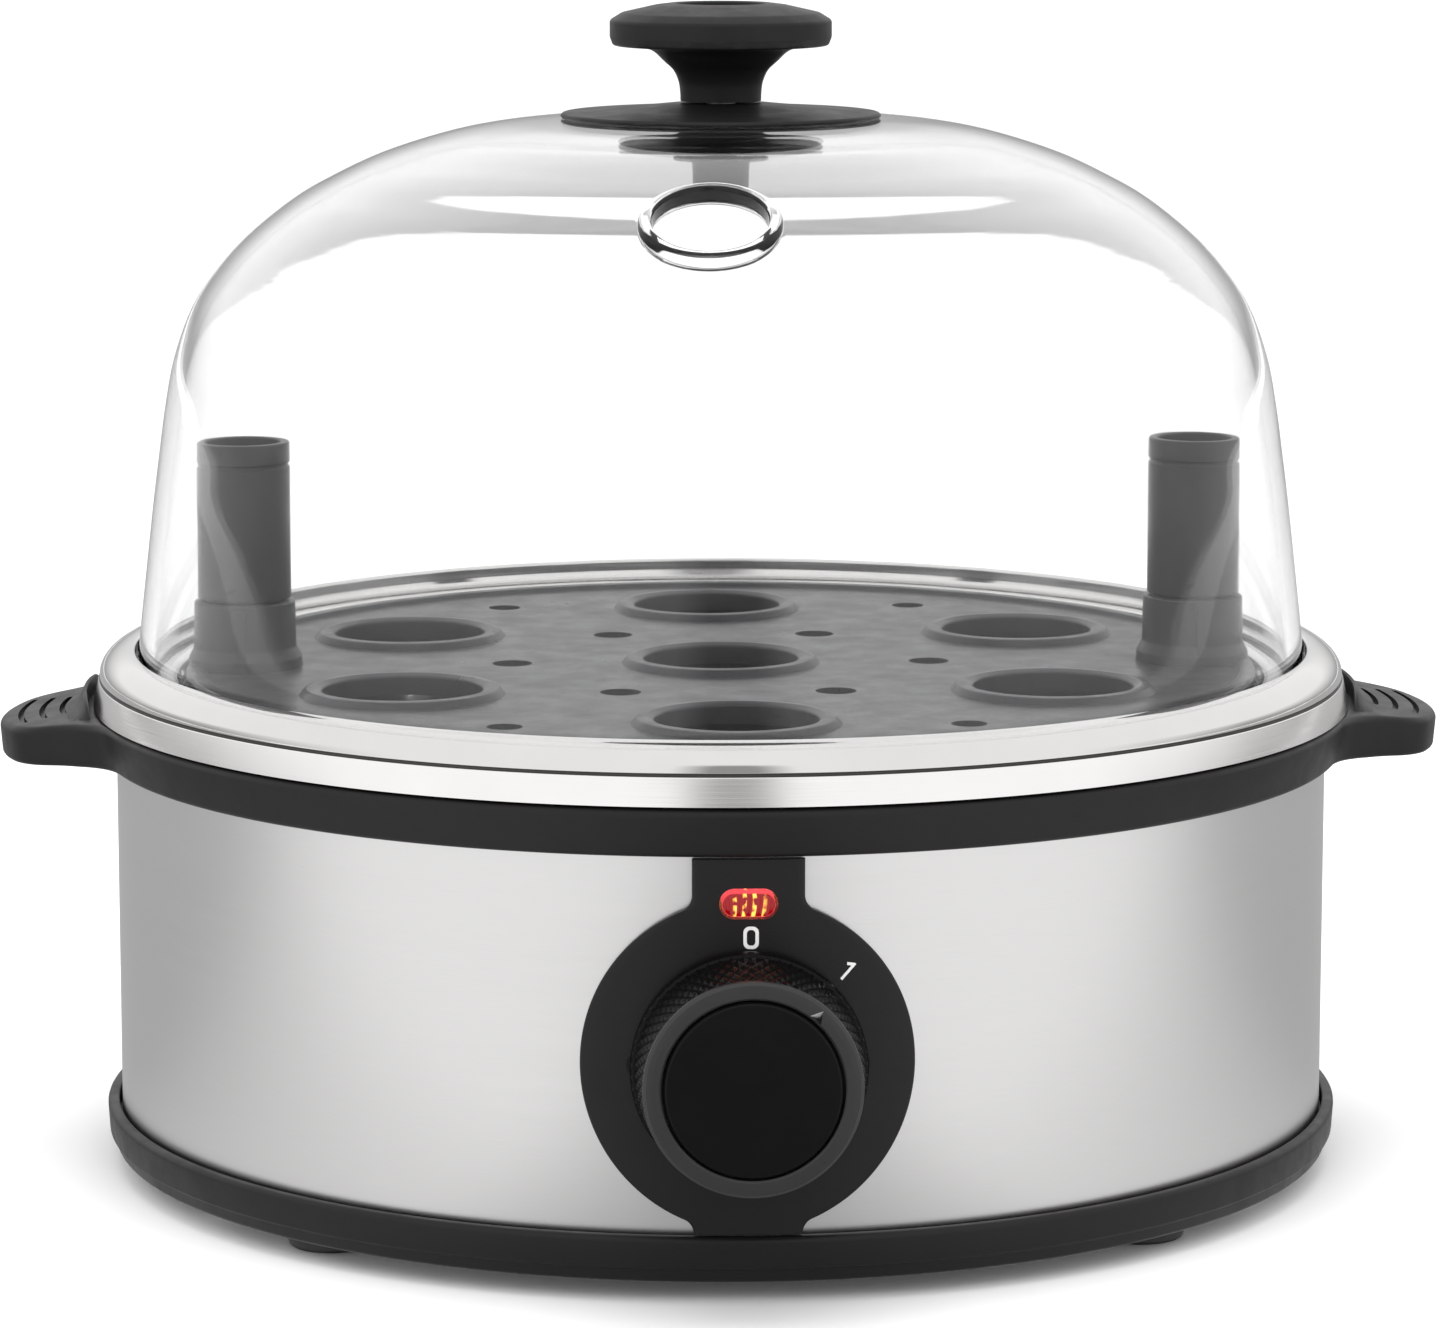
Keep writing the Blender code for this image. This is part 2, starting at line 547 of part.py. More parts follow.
# ---- back: cord gland, terminals and wiring -------------------------------------------------------------
def make_back():
    section = [
        (3.7, GLAND_REACH), (7.2, GLAND_REACH), (8.2, GLAND_REACH - 1.2), (8.2, 78.5), (5.6, 78.5),
        (5.6, 70.5), (3.7, 70.5),
    ]
    turned("cord_gland", section, RUBBER, 16, (0, 0, GLAND_Z), FACING_BACK)
    nut = prism("gland_nut", arc((0, 0), 8.6, 0, 300, 5), 72.0, 75.6, NYLON, (0, 0, GLAND_Z), FACING_BACK)
    cut(nut, rod("gland_nut_bore", 5.95, (0, 80, GLAND_Z), (0, 70, GLAND_Z), None, 20))
    terminals = block("terminal_block", (-12, 47, BASE_FLOOR + GAP), (12, 57, 15.5), NYLON)
    for x in (-7, 0, 7):
        cut(terminals, rod("terminal_well", 1.9, (x, 52, 9), (x, 52, 17), None, 8))
        cut(terminals, rod("wire_entry", 1.7, (x, 44, 9.6), (x, 50.5, 9.6), None, 8))
    earth = [(0, 36.0), (1.4, 36.0), (1.4, 32.6), (3.2, 32.6), (3.2, 31.4), (2.4, 30.8), (0, 30.8)]
    shield = bpy.data.objects["heat_shield"]
    where = polar(30, 135)
    cut(shield, rod("earth_room", 1.8, (where[0], where[1], 30), (where[0], where[1], 36), None, 12))
    turned("earth_screw", earth, PLATED_STEEL, 12, where)


def make_leads():
    thin = 1.15
    tab_z = DIAL_Z - 3.6
    lead("lead_live", [(-7, 46.4, 9.6), (-10, 38, 9.6), (-22, 20, 12), (-24, -15, 15), (-13, -40, 21),
                       (-7, -51.5, tab_z)], thin, LEAD_BROWN)
    lead("lead_neutral", [(0, 46.4, 9.6), (0, 36, 10), (1, 18, 16), (2, 4, 23), (3, 0, 30),
                          (3, 0, 36.2)], thin, LEAD_BLUE)
    lead("lead_heater", [(7, -51.5, tab_z), (8, -40, 22), (7, -18, 20), (1, -6.5, 24), (-1.5, -4.6, 30),
                         (-1.5, -7.0, 36.0), (-2, -13.0, 37.2), (-10.5, -17, 37.4)], thin, LEAD_BROWN)
    lead("lead_lamp", [(0, -66.0, LENS_Z), (2, -64.5, 44), (4, -61, 39.6), (4, -58.3, 37.4),
                       (4, -56, 34), (3, -54, 30), (0, -51.5, tab_z)], thin * 0.8, LEAD_BLUE)
    screw_x, screw_y, _ = polar(30, 135)
    lead("lead_earth", [(7, 46.4, 9.6), (7, 40, 9.6), (4, 33.5, 13), (-8, 29, 20), (screw_x + 3, screw_y + 2, 27),
                        (screw_x, screw_y, 29.4)], thin, LEAD_GREEN)


# ---- lid -----------------------------------------------------------------------------------------------
def make_dome():
    wall = [(75.0, DOME_LEDGE + GAP), (74.9, 68.0), (72.1, 91.5), (71.0, 99.0), (68.8, 107.5),
            (64.5, 114.9), (54.6, 123.8), (43.4, 129.6), (30.0, 133.2), (19.0, DOME_TOP), (2.6, DOME_TOP)]
    dome = turned("lid_dome", sheet_section(wall, DOME_WALL), CLEAR_PLASTIC)
    slope = math.radians(32)
    x, y, _ = polar(VENT_RING, VENT_ANGLE)
    out = Vector((math.sin(slope) * x / VENT_RING, math.sin(slope) * y / VENT_RING, math.cos(slope)))
    middle = Vector((x, y, 124.7))
    join(dome, rod("vent_rim", 8.4, middle - out * 1.2, middle + out * 1.3, None, 20))
    cut(dome, rod("vent_hole", 6.65, middle - out * 8, middle + out * 8, None, 20))


def make_lid_fittings():
    base = DOME_TOP + GAP
    plate = [(2.6, base), (20.0, base), (20.5, base + 0.3), (20.3, base + 0.6), (12.0, base + 1.2),
             (6.2, base + 1.6), (2.6, base + 1.6)]
    turned("lid_plate", plate, BLACK_PLASTIC, MEDIUM)
    foot = base + 1.6 + GAP
    under = 143.2
    stem = [(5.1, foot), (5.1, foot + 1.6), (5.6, under - 3.6), (7.0, under - 2.0), (10.2, under - 0.6),
            (12.6, under), (13.6, under + 0.3), (14.0, under + 1.0), (14.0, under + 2.9)]
    crown = [(13.5, under + 3.5), (8.0, KNOB_TOP - 0.5), (6.2, KNOB_TOP), (5.55, KNOB_TOP - 0.4),
             (5.55, 140.6), (2.5, 140.6), (2.5, foot)]
    turned("lid_knob", stem + crown, BLACK_PLASTIC, MEDIUM)
    inside = DOME_TOP - DOME_WALL - GAP
    washer = [(2.6, inside), (13.0, inside), (13.0, inside - 1.0), (2.6, inside - 1.0)]
    turned("lid_washer", washer, BLACK_PLASTIC, MEDIUM)
    nut_top = inside - 1.0 - GAP
    nut = [(2.3, nut_top), (6.2, nut_top), (6.2, nut_top - 3.4), (4.9, nut_top - 4.6), (0, nut_top - 4.6),
           (0, nut_top - 3.6), (2.3, nut_top - 3.6)]
    turned("lid_nut", nut, BLACK_PLASTIC, SMALL)
    screw = [(0, 143.0), (4.0, 143.0), (4.2, 142.4), (4.2, 140.9), (1.9, 140.9), (1.9, nut_top - 3.0),
             (0, nut_top - 3.0)]
    turned("lid_screw", screw, PLATED_STEEL, SMALL)


# ---- egg tray ------------------------------------------------------------------------------------------
def seat_centres():
    return [(0, 0)] + [polar(SEAT_RING, 30 + 60 * i)[:2] for i in range(6)]


def make_tray():
    section = [
        (0, DECK_TOP), (TRAY_RADIUS - 2.2, DECK_TOP), (TRAY_RADIUS - 1.8, DECK_TOP + 0.6),
        (TRAY_RADIUS - 0.4, DECK_TOP + 0.6), (TRAY_RADIUS, DECK_TOP + 0.2), (TRAY_RADIUS, TRAY_LEDGE + GAP),
        (TRAY_RADIUS - 2.0, TRAY_LEDGE + GAP), (TRAY_RADIUS - 2.0, DECK_UNDER), (0, DECK_UNDER),
    ]
    tray = turned("egg_tray", section, TRAY_PLASTIC)
    for number, (x, y) in enumerate(seat_centres()):
        join(tray, rod(f"seat_lip_{number}", 13.0, (x, y, DECK_TOP - 1), (x, y, DECK_TOP + 0.9), None, 16))
        cut(tray, rod(f"seat_{number}", SEAT_RADIUS, (x, y, 55), (x, y, 70), None, 16))
    for number in range(6):
        x, y, _ = polar(27, 60 * number)
        cut(tray, rod(f"steam_hole_{number}", 2.6, (x, y, 55), (x, y, 70), None, 8))
    for angle in (60, 120, 240, 300):     # the posts stand where a fifth and a sixth would be
        x, y, _ = polar(56, angle)
        cut(tray, rod(f"outer_hole_{angle}", 2.2, (x, y, 55), (x, y, 70), None, 8))
    for side, sign in (("left", -1), ("right", 1)):
        x = sign * POST_X
        foot = rod(f"post_foot_{side}", 7.4, (x, 0, DECK_TOP - 1), (x, 0, DECK_TOP + 1.4), None, 16)
        socket = rod(f"socket_{side}", 6.6, (x, 0, DECK_TOP - 1), (x, 0, SOCKET_TOP), None, 16)
        join(tray, foot, socket)
        cut(tray, rod(f"socket_bore_{side}", 5.2, (x, 0, DECK_TOP), (x, 0, SOCKET_TOP + 2), None, 16))
        post = [
            (6.0, POST_TOP), (6.0, SOCKET_TOP + GAP), (4.85, SOCKET_TOP + GAP), (4.85, DECK_TOP + GAP),
            (0, DECK_TOP + GAP), (0, SOCKET_TOP - 3), (3.4, SOCKET_TOP - 3), (4.4, SOCKET_TOP + 4),
            (4.4, POST_TOP),
        ]
        turned(f"tray_post_{side}", post, TRAY_PLASTIC, 16, (x, 0, 0))


# ---- build ---------------------------------------------------------------------------------------------
make_base_pan()
make_feet()
make_base_screws()
make_wrap()
make_collar()
make_dish()
make_heater()
make_shield()
make_fascia()
make_lamp()
make_switch()
make_dial()
make_back()
make_leads()
make_dome()
make_lid_fittings()
make_tray()
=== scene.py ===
# %% [markdown]
# # A seven-egg cooker, finished piece by piece
# The plain model that this lesson starts from already works: every piece of the cooker is there,
# at its real size, on the body that it moves with. What it lacks is what a hand would notice:
# rounded edges, the fine knurl of the dial, the grain of brushed steel, the wet look of clear
# plastic. Each step takes one piece of the real appliance, says what it is, and makes it again
# finely around the plain one.
#
# Lengths are in millimetres, because that is how such an appliance is drawn. `MM` turns them into
# metres.

# %% Load the plain model
import math

import bmesh
import bpy
from mathutils import Matrix, Vector


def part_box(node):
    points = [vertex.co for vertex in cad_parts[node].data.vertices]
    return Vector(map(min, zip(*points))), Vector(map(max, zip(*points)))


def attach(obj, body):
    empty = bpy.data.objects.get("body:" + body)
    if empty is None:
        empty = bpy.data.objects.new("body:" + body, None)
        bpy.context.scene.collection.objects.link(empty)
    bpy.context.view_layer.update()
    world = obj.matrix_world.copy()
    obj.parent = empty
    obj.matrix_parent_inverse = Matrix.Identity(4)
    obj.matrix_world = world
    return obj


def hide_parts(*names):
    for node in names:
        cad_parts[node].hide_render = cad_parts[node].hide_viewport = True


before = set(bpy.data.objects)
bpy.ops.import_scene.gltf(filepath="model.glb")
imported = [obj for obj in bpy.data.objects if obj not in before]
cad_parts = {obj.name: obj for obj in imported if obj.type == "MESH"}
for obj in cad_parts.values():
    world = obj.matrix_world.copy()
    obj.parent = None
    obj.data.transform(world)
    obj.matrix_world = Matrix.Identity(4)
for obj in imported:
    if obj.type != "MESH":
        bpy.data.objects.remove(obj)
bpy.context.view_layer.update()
MM = 0.001

# %% [markdown]
# ## Reading sizes off the plain model
# Nearly every piece is round, so three numbers place it: its radius, its foot and its top. The
# body's own axis does not stand over the origin, because the dial sticks out further in front than
# the cord entry does behind, so the axis is read off the round base pan.


# %% Sizes of the plain pieces
def reach(node):
    """A round piece's radius, lowest and highest point."""
    low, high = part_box(node)
    return (high.x - low.x) / 2 / MM, low.z / MM, high.z / MM


pan_low, pan_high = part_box("base_pan")
AXIS = Vector((0, (pan_low.y + pan_high.y) / 2, 0))
PAN_RADIUS, PAN_FOOT, PAN_TOP = reach("base_pan")
WRAP_RADIUS, WRAP_FOOT, WRAP_TOP = reach("steel_wrap")
DISH_RADIUS, DISH_FLOOR, DISH_CREST = reach("dish")
HANDLE_REACH, _, _ = reach("collar_ring")
TRAY_RADIUS, TRAY_FOOT, _ = reach("egg_tray")
DOME_RADIUS, DOME_FOOT, DOME_TOP = reach("lid_dome")
print(f"radii: pan {PAN_RADIUS:.1f}, wrap {WRAP_RADIUS:.1f}, dish {DISH_RADIUS:.1f}, "
      f"dome {DOME_RADIUS:.1f} mm")

# %% [markdown]
# ## Where the camera stands
# A long lens from a low height keeps the sides of the cooker upright and shows just a sliver of
# its top. The camera looks from slightly left of straight ahead, and aims a little down.

# %% Camera
camera = bpy.data.objects.new("camera", bpy.data.cameras.new("camera"))
camera.data.sensor_width = 36
camera.data.lens = 141.7
camera.data.shift_x = 0.0012
DISTANCE, EYE_HEIGHT = 727.7, 180.4
TO_THE_LEFT, LOOKING_DOWN = math.radians(2.35), math.radians(9.126)
camera.location = (
    -DISTANCE * math.sin(TO_THE_LEFT) * MM,
    AXIS.y - DISTANCE * math.cos(TO_THE_LEFT) * MM,
    EYE_HEIGHT * MM,
)
camera.rotation_euler = (math.pi / 2 - LOOKING_DOWN, 0, -TO_THE_LEFT)
bpy.context.scene.collection.objects.link(camera)
bpy.context.scene.camera = camera
print("camera at", [round(value, 3) for value in camera.location])

# %% [markdown]
# ## Outlines
# An outline is a list of (across, up) points. A moulded or pressed edge is never sharp, so
# `softened` takes points with a third number, the radius of the corner, and puts an arc there.
# `flowing` draws a free curve through a few points, for the dome and other shapes that have no
# straight stretch.


# %% Outline helpers
def arc(centre, radius, start, end, steps=12):
    """Points on a circle from one angle to another, in degrees, both ends included."""
    turns = [math.radians(start + (end - start) * i / steps) for i in range(steps + 1)]
    return [(centre[0] + radius * math.cos(a), centre[1] + radius * math.sin(a)) for a in turns]


def softened(corners, step=14):
    """A closed outline with its corners rounded by the radius that each one carries."""
    outline = []
    for i, (x, y, radius) in enumerate(corners):
        here = Vector((x, y))
        if not radius:
            outline.append((x, y))
            continue
        back = Vector(corners[i - 1][:2]) - here
        ahead = Vector(corners[(i + 1) % len(corners)][:2]) - here
        half = back.angle(ahead) / 2
        length = min(radius / math.tan(half), 0.48 * back.length, 0.48 * ahead.length)
        fillet = length * math.tan(half)
        centre = here + (back.normalized() + ahead.normalized()).normalized() * fillet / math.sin(half)
        first = here + back.normalized() * length - centre
        last = here + ahead.normalized() * length - centre
        turn = math.atan2(first.cross(last), first.dot(last))
        steps = max(2, math.ceil(abs(math.degrees(turn)) / step))
        start = math.atan2(first.y, first.x)
        for k in range(steps + 1):
            angle = start + turn * k / steps
            outline.append((centre.x + fillet * math.cos(angle), centre.y + fillet * math.sin(angle)))
    return outline


def flowing(points, steps=6):
    """A smooth open curve through the points."""
    route = [Vector(point) for point in points]
    curve = []
    for i in range(len(route) - 1):
        before, here = route[max(i - 1, 0)], route[i]
        there, after = route[i + 1], route[min(i + 2, len(route) - 1)]
        for step in range(steps):
            t = step / steps
            curve.append(tuple(0.5 * (2 * here + (there - before) * t
                                      + (2 * before - 5 * here + 4 * there - after) * t * t
                                      + (3 * here - before - 3 * there + after) * t ** 3)))
    curve.append(tuple(route[-1]))
    return curve


def beside(line, distance):
    """An open line moved sideways, to its left for a positive distance."""
    moved = []
    for i, point in enumerate(line):
        along = Vector(line[min(i + 1, len(line) - 1)]) - Vector(line[max(i - 1, 0)])
        moved.append(tuple(Vector(point) + Vector((-along.y, along.x)).normalized() * distance))
    return moved


def stadium(width, height, steps=16):
    """A slot outline with round ends."""
    radius, half = height / 2, (width - height) / 2
    return arc((half, 0), radius, -90, 90, steps) + arc((-half, 0), radius, 90, 270, steps)


def around(radius, degrees, up=0.0):
    """The point at a radius and an angle round the upright axis."""
    angle = math.radians(degrees)
    return Vector((radius * math.cos(angle), radius * math.sin(angle), up))


# %% [markdown]
# ## Solids
# Three ways to make a solid cover this whole appliance. `turned` spins an outline round the
# upright axis, which is how the dish, the dome and the dial come about. `woven` joins rows of
# points into a skin, for shapes that are nearly round but not quite: the collar with its handles,
# the knurl, the bent fascia. `slab` gives a flat outline a thickness. Holes are made as on a
# bench, by cutting one solid from another.


# %% Solid helpers
ROUND, SMALL_ROUND = 288, 96      # sides of a large and of a small turned piece


def turned(outline, sides=ROUND):
    """An outline spun round Z. One that starts and ends on the axis stays open there."""
    solid = bmesh.new()
    dots = [solid.verts.new((across * MM, 0, up * MM)) for across, up in outline]
    pairs = list(zip(dots, dots[1:]))
    if max(outline[0][0], outline[-1][0]) > 1e-6:
        pairs.append((dots[-1], dots[0]))
    edges = [solid.edges.new(pair) for pair in pairs]
    bmesh.ops.spin(solid, geom=dots + edges, axis=(0, 0, 1), cent=(0, 0, 0), angle=2 * math.pi,
                   steps=sides, use_merge=True)
    bmesh.ops.remove_doubles(solid, verts=solid.verts, dist=1e-7)
    bmesh.ops.recalc_face_normals(solid, faces=solid.faces)
    return solid


def woven(rows, ring=True, tube=True):
    """A skin over rows of points. ring joins the last row to the first, tube closes each row on itself.
    Open ends of a tube are capped."""
    solid = bmesh.new()
    dots = [[solid.verts.new(Vector(point) * MM) for point in row] for row in rows]
    for i in range(len(dots) if ring else len(dots) - 1):
        row, following = dots[i], dots[(i + 1) % len(dots)]
        for j in range(len(row) if tube else len(row) - 1):
            k = (j + 1) % len(row)
            solid.faces.new((row[j], row[k], following[k], following[j]))
    if tube and not ring:
        solid.faces.new(dots[0])
        solid.faces.new(dots[-1])
    bmesh.ops.remove_doubles(solid, verts=solid.verts, dist=1e-7)
    bmesh.ops.recalc_face_normals(solid, faces=solid.faces)
    return solid


def slab(outline, low, high):
    """A flat outline made solid from one height to another."""
    solid = bmesh.new()
    face = solid.faces.new([solid.verts.new((x * MM, y * MM, low * MM)) for x, y in outline])
    raised = bmesh.ops.extrude_face_region(solid, geom=[face])["geom"]
    lifted = [part for part in raised if isinstance(part, bmesh.types.BMVert)]
    bmesh.ops.translate(solid, verts=lifted, vec=(0, 0, (high - low) * MM))
    bmesh.ops.recalc_face_normals(solid, faces=solid.faces)
    return solid


def disc(radius, low, high, sides=SMALL_ROUND):
    """A plain round, as a cutter or a boss."""
    return turned([(0, high), (radius, high), (radius, low), (0, low)], sides)


def moved(solid, place=(0, 0, 0), turn=None):
    """The solid turned by a rotation matrix and then shifted."""
    if turn:
        solid.transform(turn.to_4x4())
    solid.transform(Matrix.Translation(Vector(place) * MM))
    return solid


def gathered(solids):
    """Several solids as loose parts of one, to cut with them all at once."""
    together = bmesh.new()
    for solid in solids:
        mesh = bpy.data.meshes.new("loose")
        solid.to_mesh(mesh)
        solid.free()
        together.from_mesh(mesh)
        bpy.data.meshes.remove(mesh)
    return together


def worked(solid, operation, tools):
    """The solid after a Boolean with each tool in turn."""
    helpers = []
    for part in (solid, *tools):
        mesh = bpy.data.meshes.new("helper")
        part.to_mesh(mesh)
        part.free()
        helpers.append(bpy.data.objects.new("helper", mesh))
        bpy.context.scene.collection.objects.link(helpers[-1])
    for tool in helpers[1:]:
        step = helpers[0].modifiers.new("step", "BOOLEAN")
        step.operation = operation
        step.solver = "MANIFOLD"
        step.object = tool
    result = bmesh.new()
    result.from_object(helpers[0], bpy.context.evaluated_depsgraph_get())
    for helper in helpers:
        mesh = helper.data
        bpy.data.objects.remove(helper)
        bpy.data.meshes.remove(mesh)
    return result


def cut(solid, *tools):
    return worked(solid, "DIFFERENCE", tools)


def joined(solid, *parts):
    return worked(solid, "UNION", parts)


FACING_FRONT = Matrix.Rotation(math.pi / 2, 3, "X")       # turns a solid's own +Z to -Y
FACING_BACK = Matrix.Rotation(-math.pi / 2, 3, "X")
print("bench ready")

# %% [markdown]
# ## Finishes
# A finish is more than a colour. What tells plastic from rubber, or rolled steel from pressed
# steel, is how rough it is in different places and what its surface does under a lamp. Every
# finish here is built from nodes that work in the piece's own space, so the grain keeps its size
# in millimetres and nothing has to be wrapped round the piece. `add` puts a node in and links it
# in one line.


# %% Finish helpers
def new_finish(name, colour, roughness, metallic=0.0):
    """A finish whose whole-surface values sit on the shader itself."""
    finish = bpy.data.materials.new(name)
    finish.use_nodes = True
    tree = finish.node_tree
    shader = tree.nodes["Principled BSDF"]
    shader.inputs["Base Color"].default_value = (*colour, 1)
    shader.inputs["Roughness"].default_value = roughness
    shader.inputs["Metallic"].default_value = metallic
    return finish, tree, shader


def add(tree, kind, inputs=None, **settings):
    """A node with its settings, its inputs set to values or linked from sockets."""
    node = tree.nodes.new("ShaderNode" + kind)
    for name, value in settings.items():
        setattr(node, name, value)
    for name, value in (inputs or {}).items():
        if isinstance(value, bpy.types.NodeSocket):
            tree.links.new(value, node.inputs[name])
        else:
            node.inputs[name].default_value = value
    return node


def own_place(tree):
    return add(tree, "TexCoord").outputs["Object"]


def spots(tree, size, detail=3.0, roughness=0.5):
    """Cloudy noise whose patches are about size millimetres across, from 0 to 1."""
    return add(tree, "TexNoise", {"Vector": own_place(tree), "Scale": 1 / (size * MM), "Detail": detail,
                                  "Roughness": roughness}).outputs["Fac"]


def between(tree, amount, low, high, start=0.3, end=0.7):
    """An amount from start to end stretched over low to high."""
    return add(tree, "MapRange", {"Value": amount, "From Min": start, "From Max": end, "To Min": low,
                                  "To Max": high}).outputs["Result"]


def shade(tree, amount, dark, light):
    """A colour between two, by an amount from 0 to 1."""
    mix = add(tree, "Mix", data_type="RGBA")
    tree.links.new(amount, mix.inputs[0])
    mix.inputs[6].default_value = (*dark, 1)
    mix.inputs[7].default_value = (*light, 1)
    return mix.outputs[2]


def relief(tree, shader, heights, depth):
    """Bumps of a depth in millimetres."""
    bump = add(tree, "Bump", {"Height": heights, "Distance": depth * MM, "Strength": 1.0})
    tree.links.new(bump.outputs["Normal"], shader.inputs["Normal"])


def turn_place(tree, streak, pitch):
    """A place that runs round the upright axis in streaks a radian long over streak, and up in pitch
    millimetres. Its join is at the back."""
    parts = add(tree, "SeparateXYZ", {"Vector": own_place(tree)})
    behind = add(tree, "Math", {0: parts.outputs["Y"], 1: -1.0}, operation="MULTIPLY").outputs[0]
    angle = add(tree, "Math", {0: parts.outputs["X"], 1: behind}, operation="ARCTAN2").outputs[0]
    along = add(tree, "Math", {0: angle, 1: streak}, operation="MULTIPLY").outputs[0]
    up = add(tree, "Math", {0: parts.outputs["Z"], 1: 1 / (pitch * MM)}, operation="MULTIPLY")
    return add(tree, "CombineXYZ", {"X": along, "Y": up.outputs[0]}).outputs["Vector"]


def ring_place(tree, pitch):
    """A place that changes only with the distance from the piece's own Z axis, in pitch millimetres."""
    parts = add(tree, "SeparateXYZ", {"Vector": own_place(tree)})
    flat = add(tree, "CombineXYZ", {"X": parts.outputs["X"], "Y": parts.outputs["Y"]})
    length = add(tree, "VectorMath", {0: flat.outputs["Vector"]}, operation="LENGTH").outputs["Value"]
    return add(tree, "Math", {0: length, 1: 1 / (pitch * MM)}, operation="MULTIPLY").outputs[0]


# %% [markdown]
# ## Satin black plastic
# The base, the collar, the fascia and the knobs are moulded in black polypropylene. The mould is
# spark eroded, which leaves a fine, even grain that scatters light, so black reads as very dark
# grey with soft highlights. Handling polishes it unevenly. One recipe serves every moulded piece,
# given its colour, how shiny it is and how coarse the grain.


# %% Moulded plastics
def moulded(name, colour, roughness, grain=0.28, depth=0.012, lift=1.35, gloss=0.5):
    finish, tree, shader = new_finish(name, colour, roughness)
    shader.inputs["Specular IOR Level"].default_value = gloss
    cloud = spots(tree, 14, 4)
    lighter = tuple(min(1.0, part * lift) for part in colour)
    tree.links.new(shade(tree, cloud, colour, lighter), shader.inputs["Base Color"])
    wear = spots(tree, 5, 5, roughness=0.65)
    tree.links.new(between(tree, wear, roughness - 0.07, roughness + 0.07), shader.inputs["Roughness"])
    relief(tree, shader, spots(tree, grain, 2), depth)
    return finish


SATIN_BLACK = moulded("satin_black_moulding", (0.0070, 0.0062, 0.0063), 0.40, gloss=0.28)
DIAL_BLACK = moulded("dial_satin", (0.0150, 0.0138, 0.0138), 0.34, grain=0.2, depth=0.004, gloss=0.5)
# a darker, less glossy copy of dial_satin for the knurled wall: painted shade
KNURL_PAINTED_SHADE = moulded("dial_knurl_painted_shade", (0.0024, 0.0022, 0.0022), 0.30, grain=0.2, depth=0.004, gloss=0.12)
KNOB_BLACK = moulded("soft_touch_knob", (0.0060, 0.0060, 0.0063), 0.46, grain=0.22, depth=0.006,
                     gloss=0.28)
TRAY_GREY = moulded("tray_grey_moulding", (0.024, 0.0245, 0.026), 0.34, grain=0.3, depth=0.0012,
                    lift=1.15, gloss=0.4)
FOOT_RUBBER = moulded("foot_rubber", (0.020, 0.020, 0.020), 0.78, grain=0.5, depth=0.03, lift=1.8)
SEAL_SILICONE = moulded("seal_silicone", (0.55, 0.55, 0.53), 0.55, grain=0.8, depth=0.01, lift=1.12)
PHENOLIC_BROWN = moulded("phenolic_brown", (0.085, 0.047, 0.030), 0.5, grain=0.4, depth=0.02, lift=2.2)
NYLON_WHITE = moulded("nylon_white", (0.70, 0.69, 0.64), 0.42, grain=0.5, depth=0.01, lift=1.15)
# dark finish for the dish's fine crease: painted shade
CREASE_PAINTED_SHADE = moulded("crease_painted_shade", (0.030, 0.028, 0.026), 0.5, grain=0.15, depth=0.01)
# pale grey for one slope of the dial's notch: painted highlight
POINTER_PAINTED_HIGHLIGHT = moulded("pointer_painted_highlight", (0.30, 0.30, 0.30), 0.45, grain=0.12, depth=0.004, lift=1.3)
PRINT_WHITE = moulded("pad_print_white", (0.72, 0.72, 0.71), 0.55, grain=0.12, depth=0.01, lift=1.2)
print("moulded plastics ready")

# %% [markdown]
# ## The dial's glossy cap
# The round cap in the middle of the dial is a separate disc turned very finely, so that its gloss
# comes back in soft wedges that fan out from the centre. Rings a sixth of a millimetre apart, far
# too shallow to see one by one, do exactly that. Stretched highlights come from the shader's
# anisotropy with a tangent that runs round the axis.


# %% Glossy cap
def spun_gloss():
    finish, tree, shader = new_finish("spun_gloss_black", (0.003, 0.003, 0.003), 0.2)
    shader.inputs["Specular IOR Level"].default_value = 0.13
    shader.inputs["Anisotropic"].default_value = 0.75
    round_axis = add(tree, "Tangent", direction_type="RADIAL", axis="Z").outputs[0]
    tree.links.new(round_axis, shader.inputs["Tangent"])
    rings = add(tree, "TexNoise", {"W": ring_place(tree, 0.16), "Detail": 2.0}, noise_dimensions="1D")
    tree.links.new(between(tree, spots(tree, 3, 4), 0.15, 0.26), shader.inputs["Roughness"])
    relief(tree, shader, rings.outputs["Fac"], 0.0015)
    return finish


SPUN_GLOSS = spun_gloss()
print("cap gloss ready")

# %% [markdown]
# ## Steel
# Three steels meet here. The wrap is sheet that was brushed along its length before it was rolled,
# so fine scratches run round the body and highlights stretch upwards. The dish is drawn from
# mirror sheet: it reflects the room, with only the faintest trace of the polishing wheel. Screws
# and brackets are zinc plated, which looks frosted and slightly mottled.


# %% Steels
def brushed_steel():
    finish, tree, shader = new_finish("brushed_wrap_steel", (0.66, 0.65, 0.645), 0.28, 1.0)
    shader.inputs["Anisotropic"].default_value = 0.55
    round_axis = add(tree, "Tangent", direction_type="RADIAL", axis="Z").outputs[0]
    tree.links.new(round_axis, shader.inputs["Tangent"])
    fine = add(tree, "TexNoise", {"Vector": turn_place(tree, 14.0, 0.07), "Scale": 1.0, "Detail": 4.0,
                                  "Roughness": 0.6}).outputs["Fac"]
    broad = add(tree, "TexNoise", {"Vector": turn_place(tree, 2.2, 1.3), "Scale": 1.0,
                                   "Detail": 3.0}).outputs["Fac"]
    tree.links.new(shade(tree, fine, (0.735, 0.73, 0.725), (0.805, 0.80, 0.795)),
                   shader.inputs["Base Color"])
    tree.links.new(between(tree, broad, 0.28, 0.315), shader.inputs["Roughness"])
    relief(tree, shader, fine, 0.0016)
    return finish


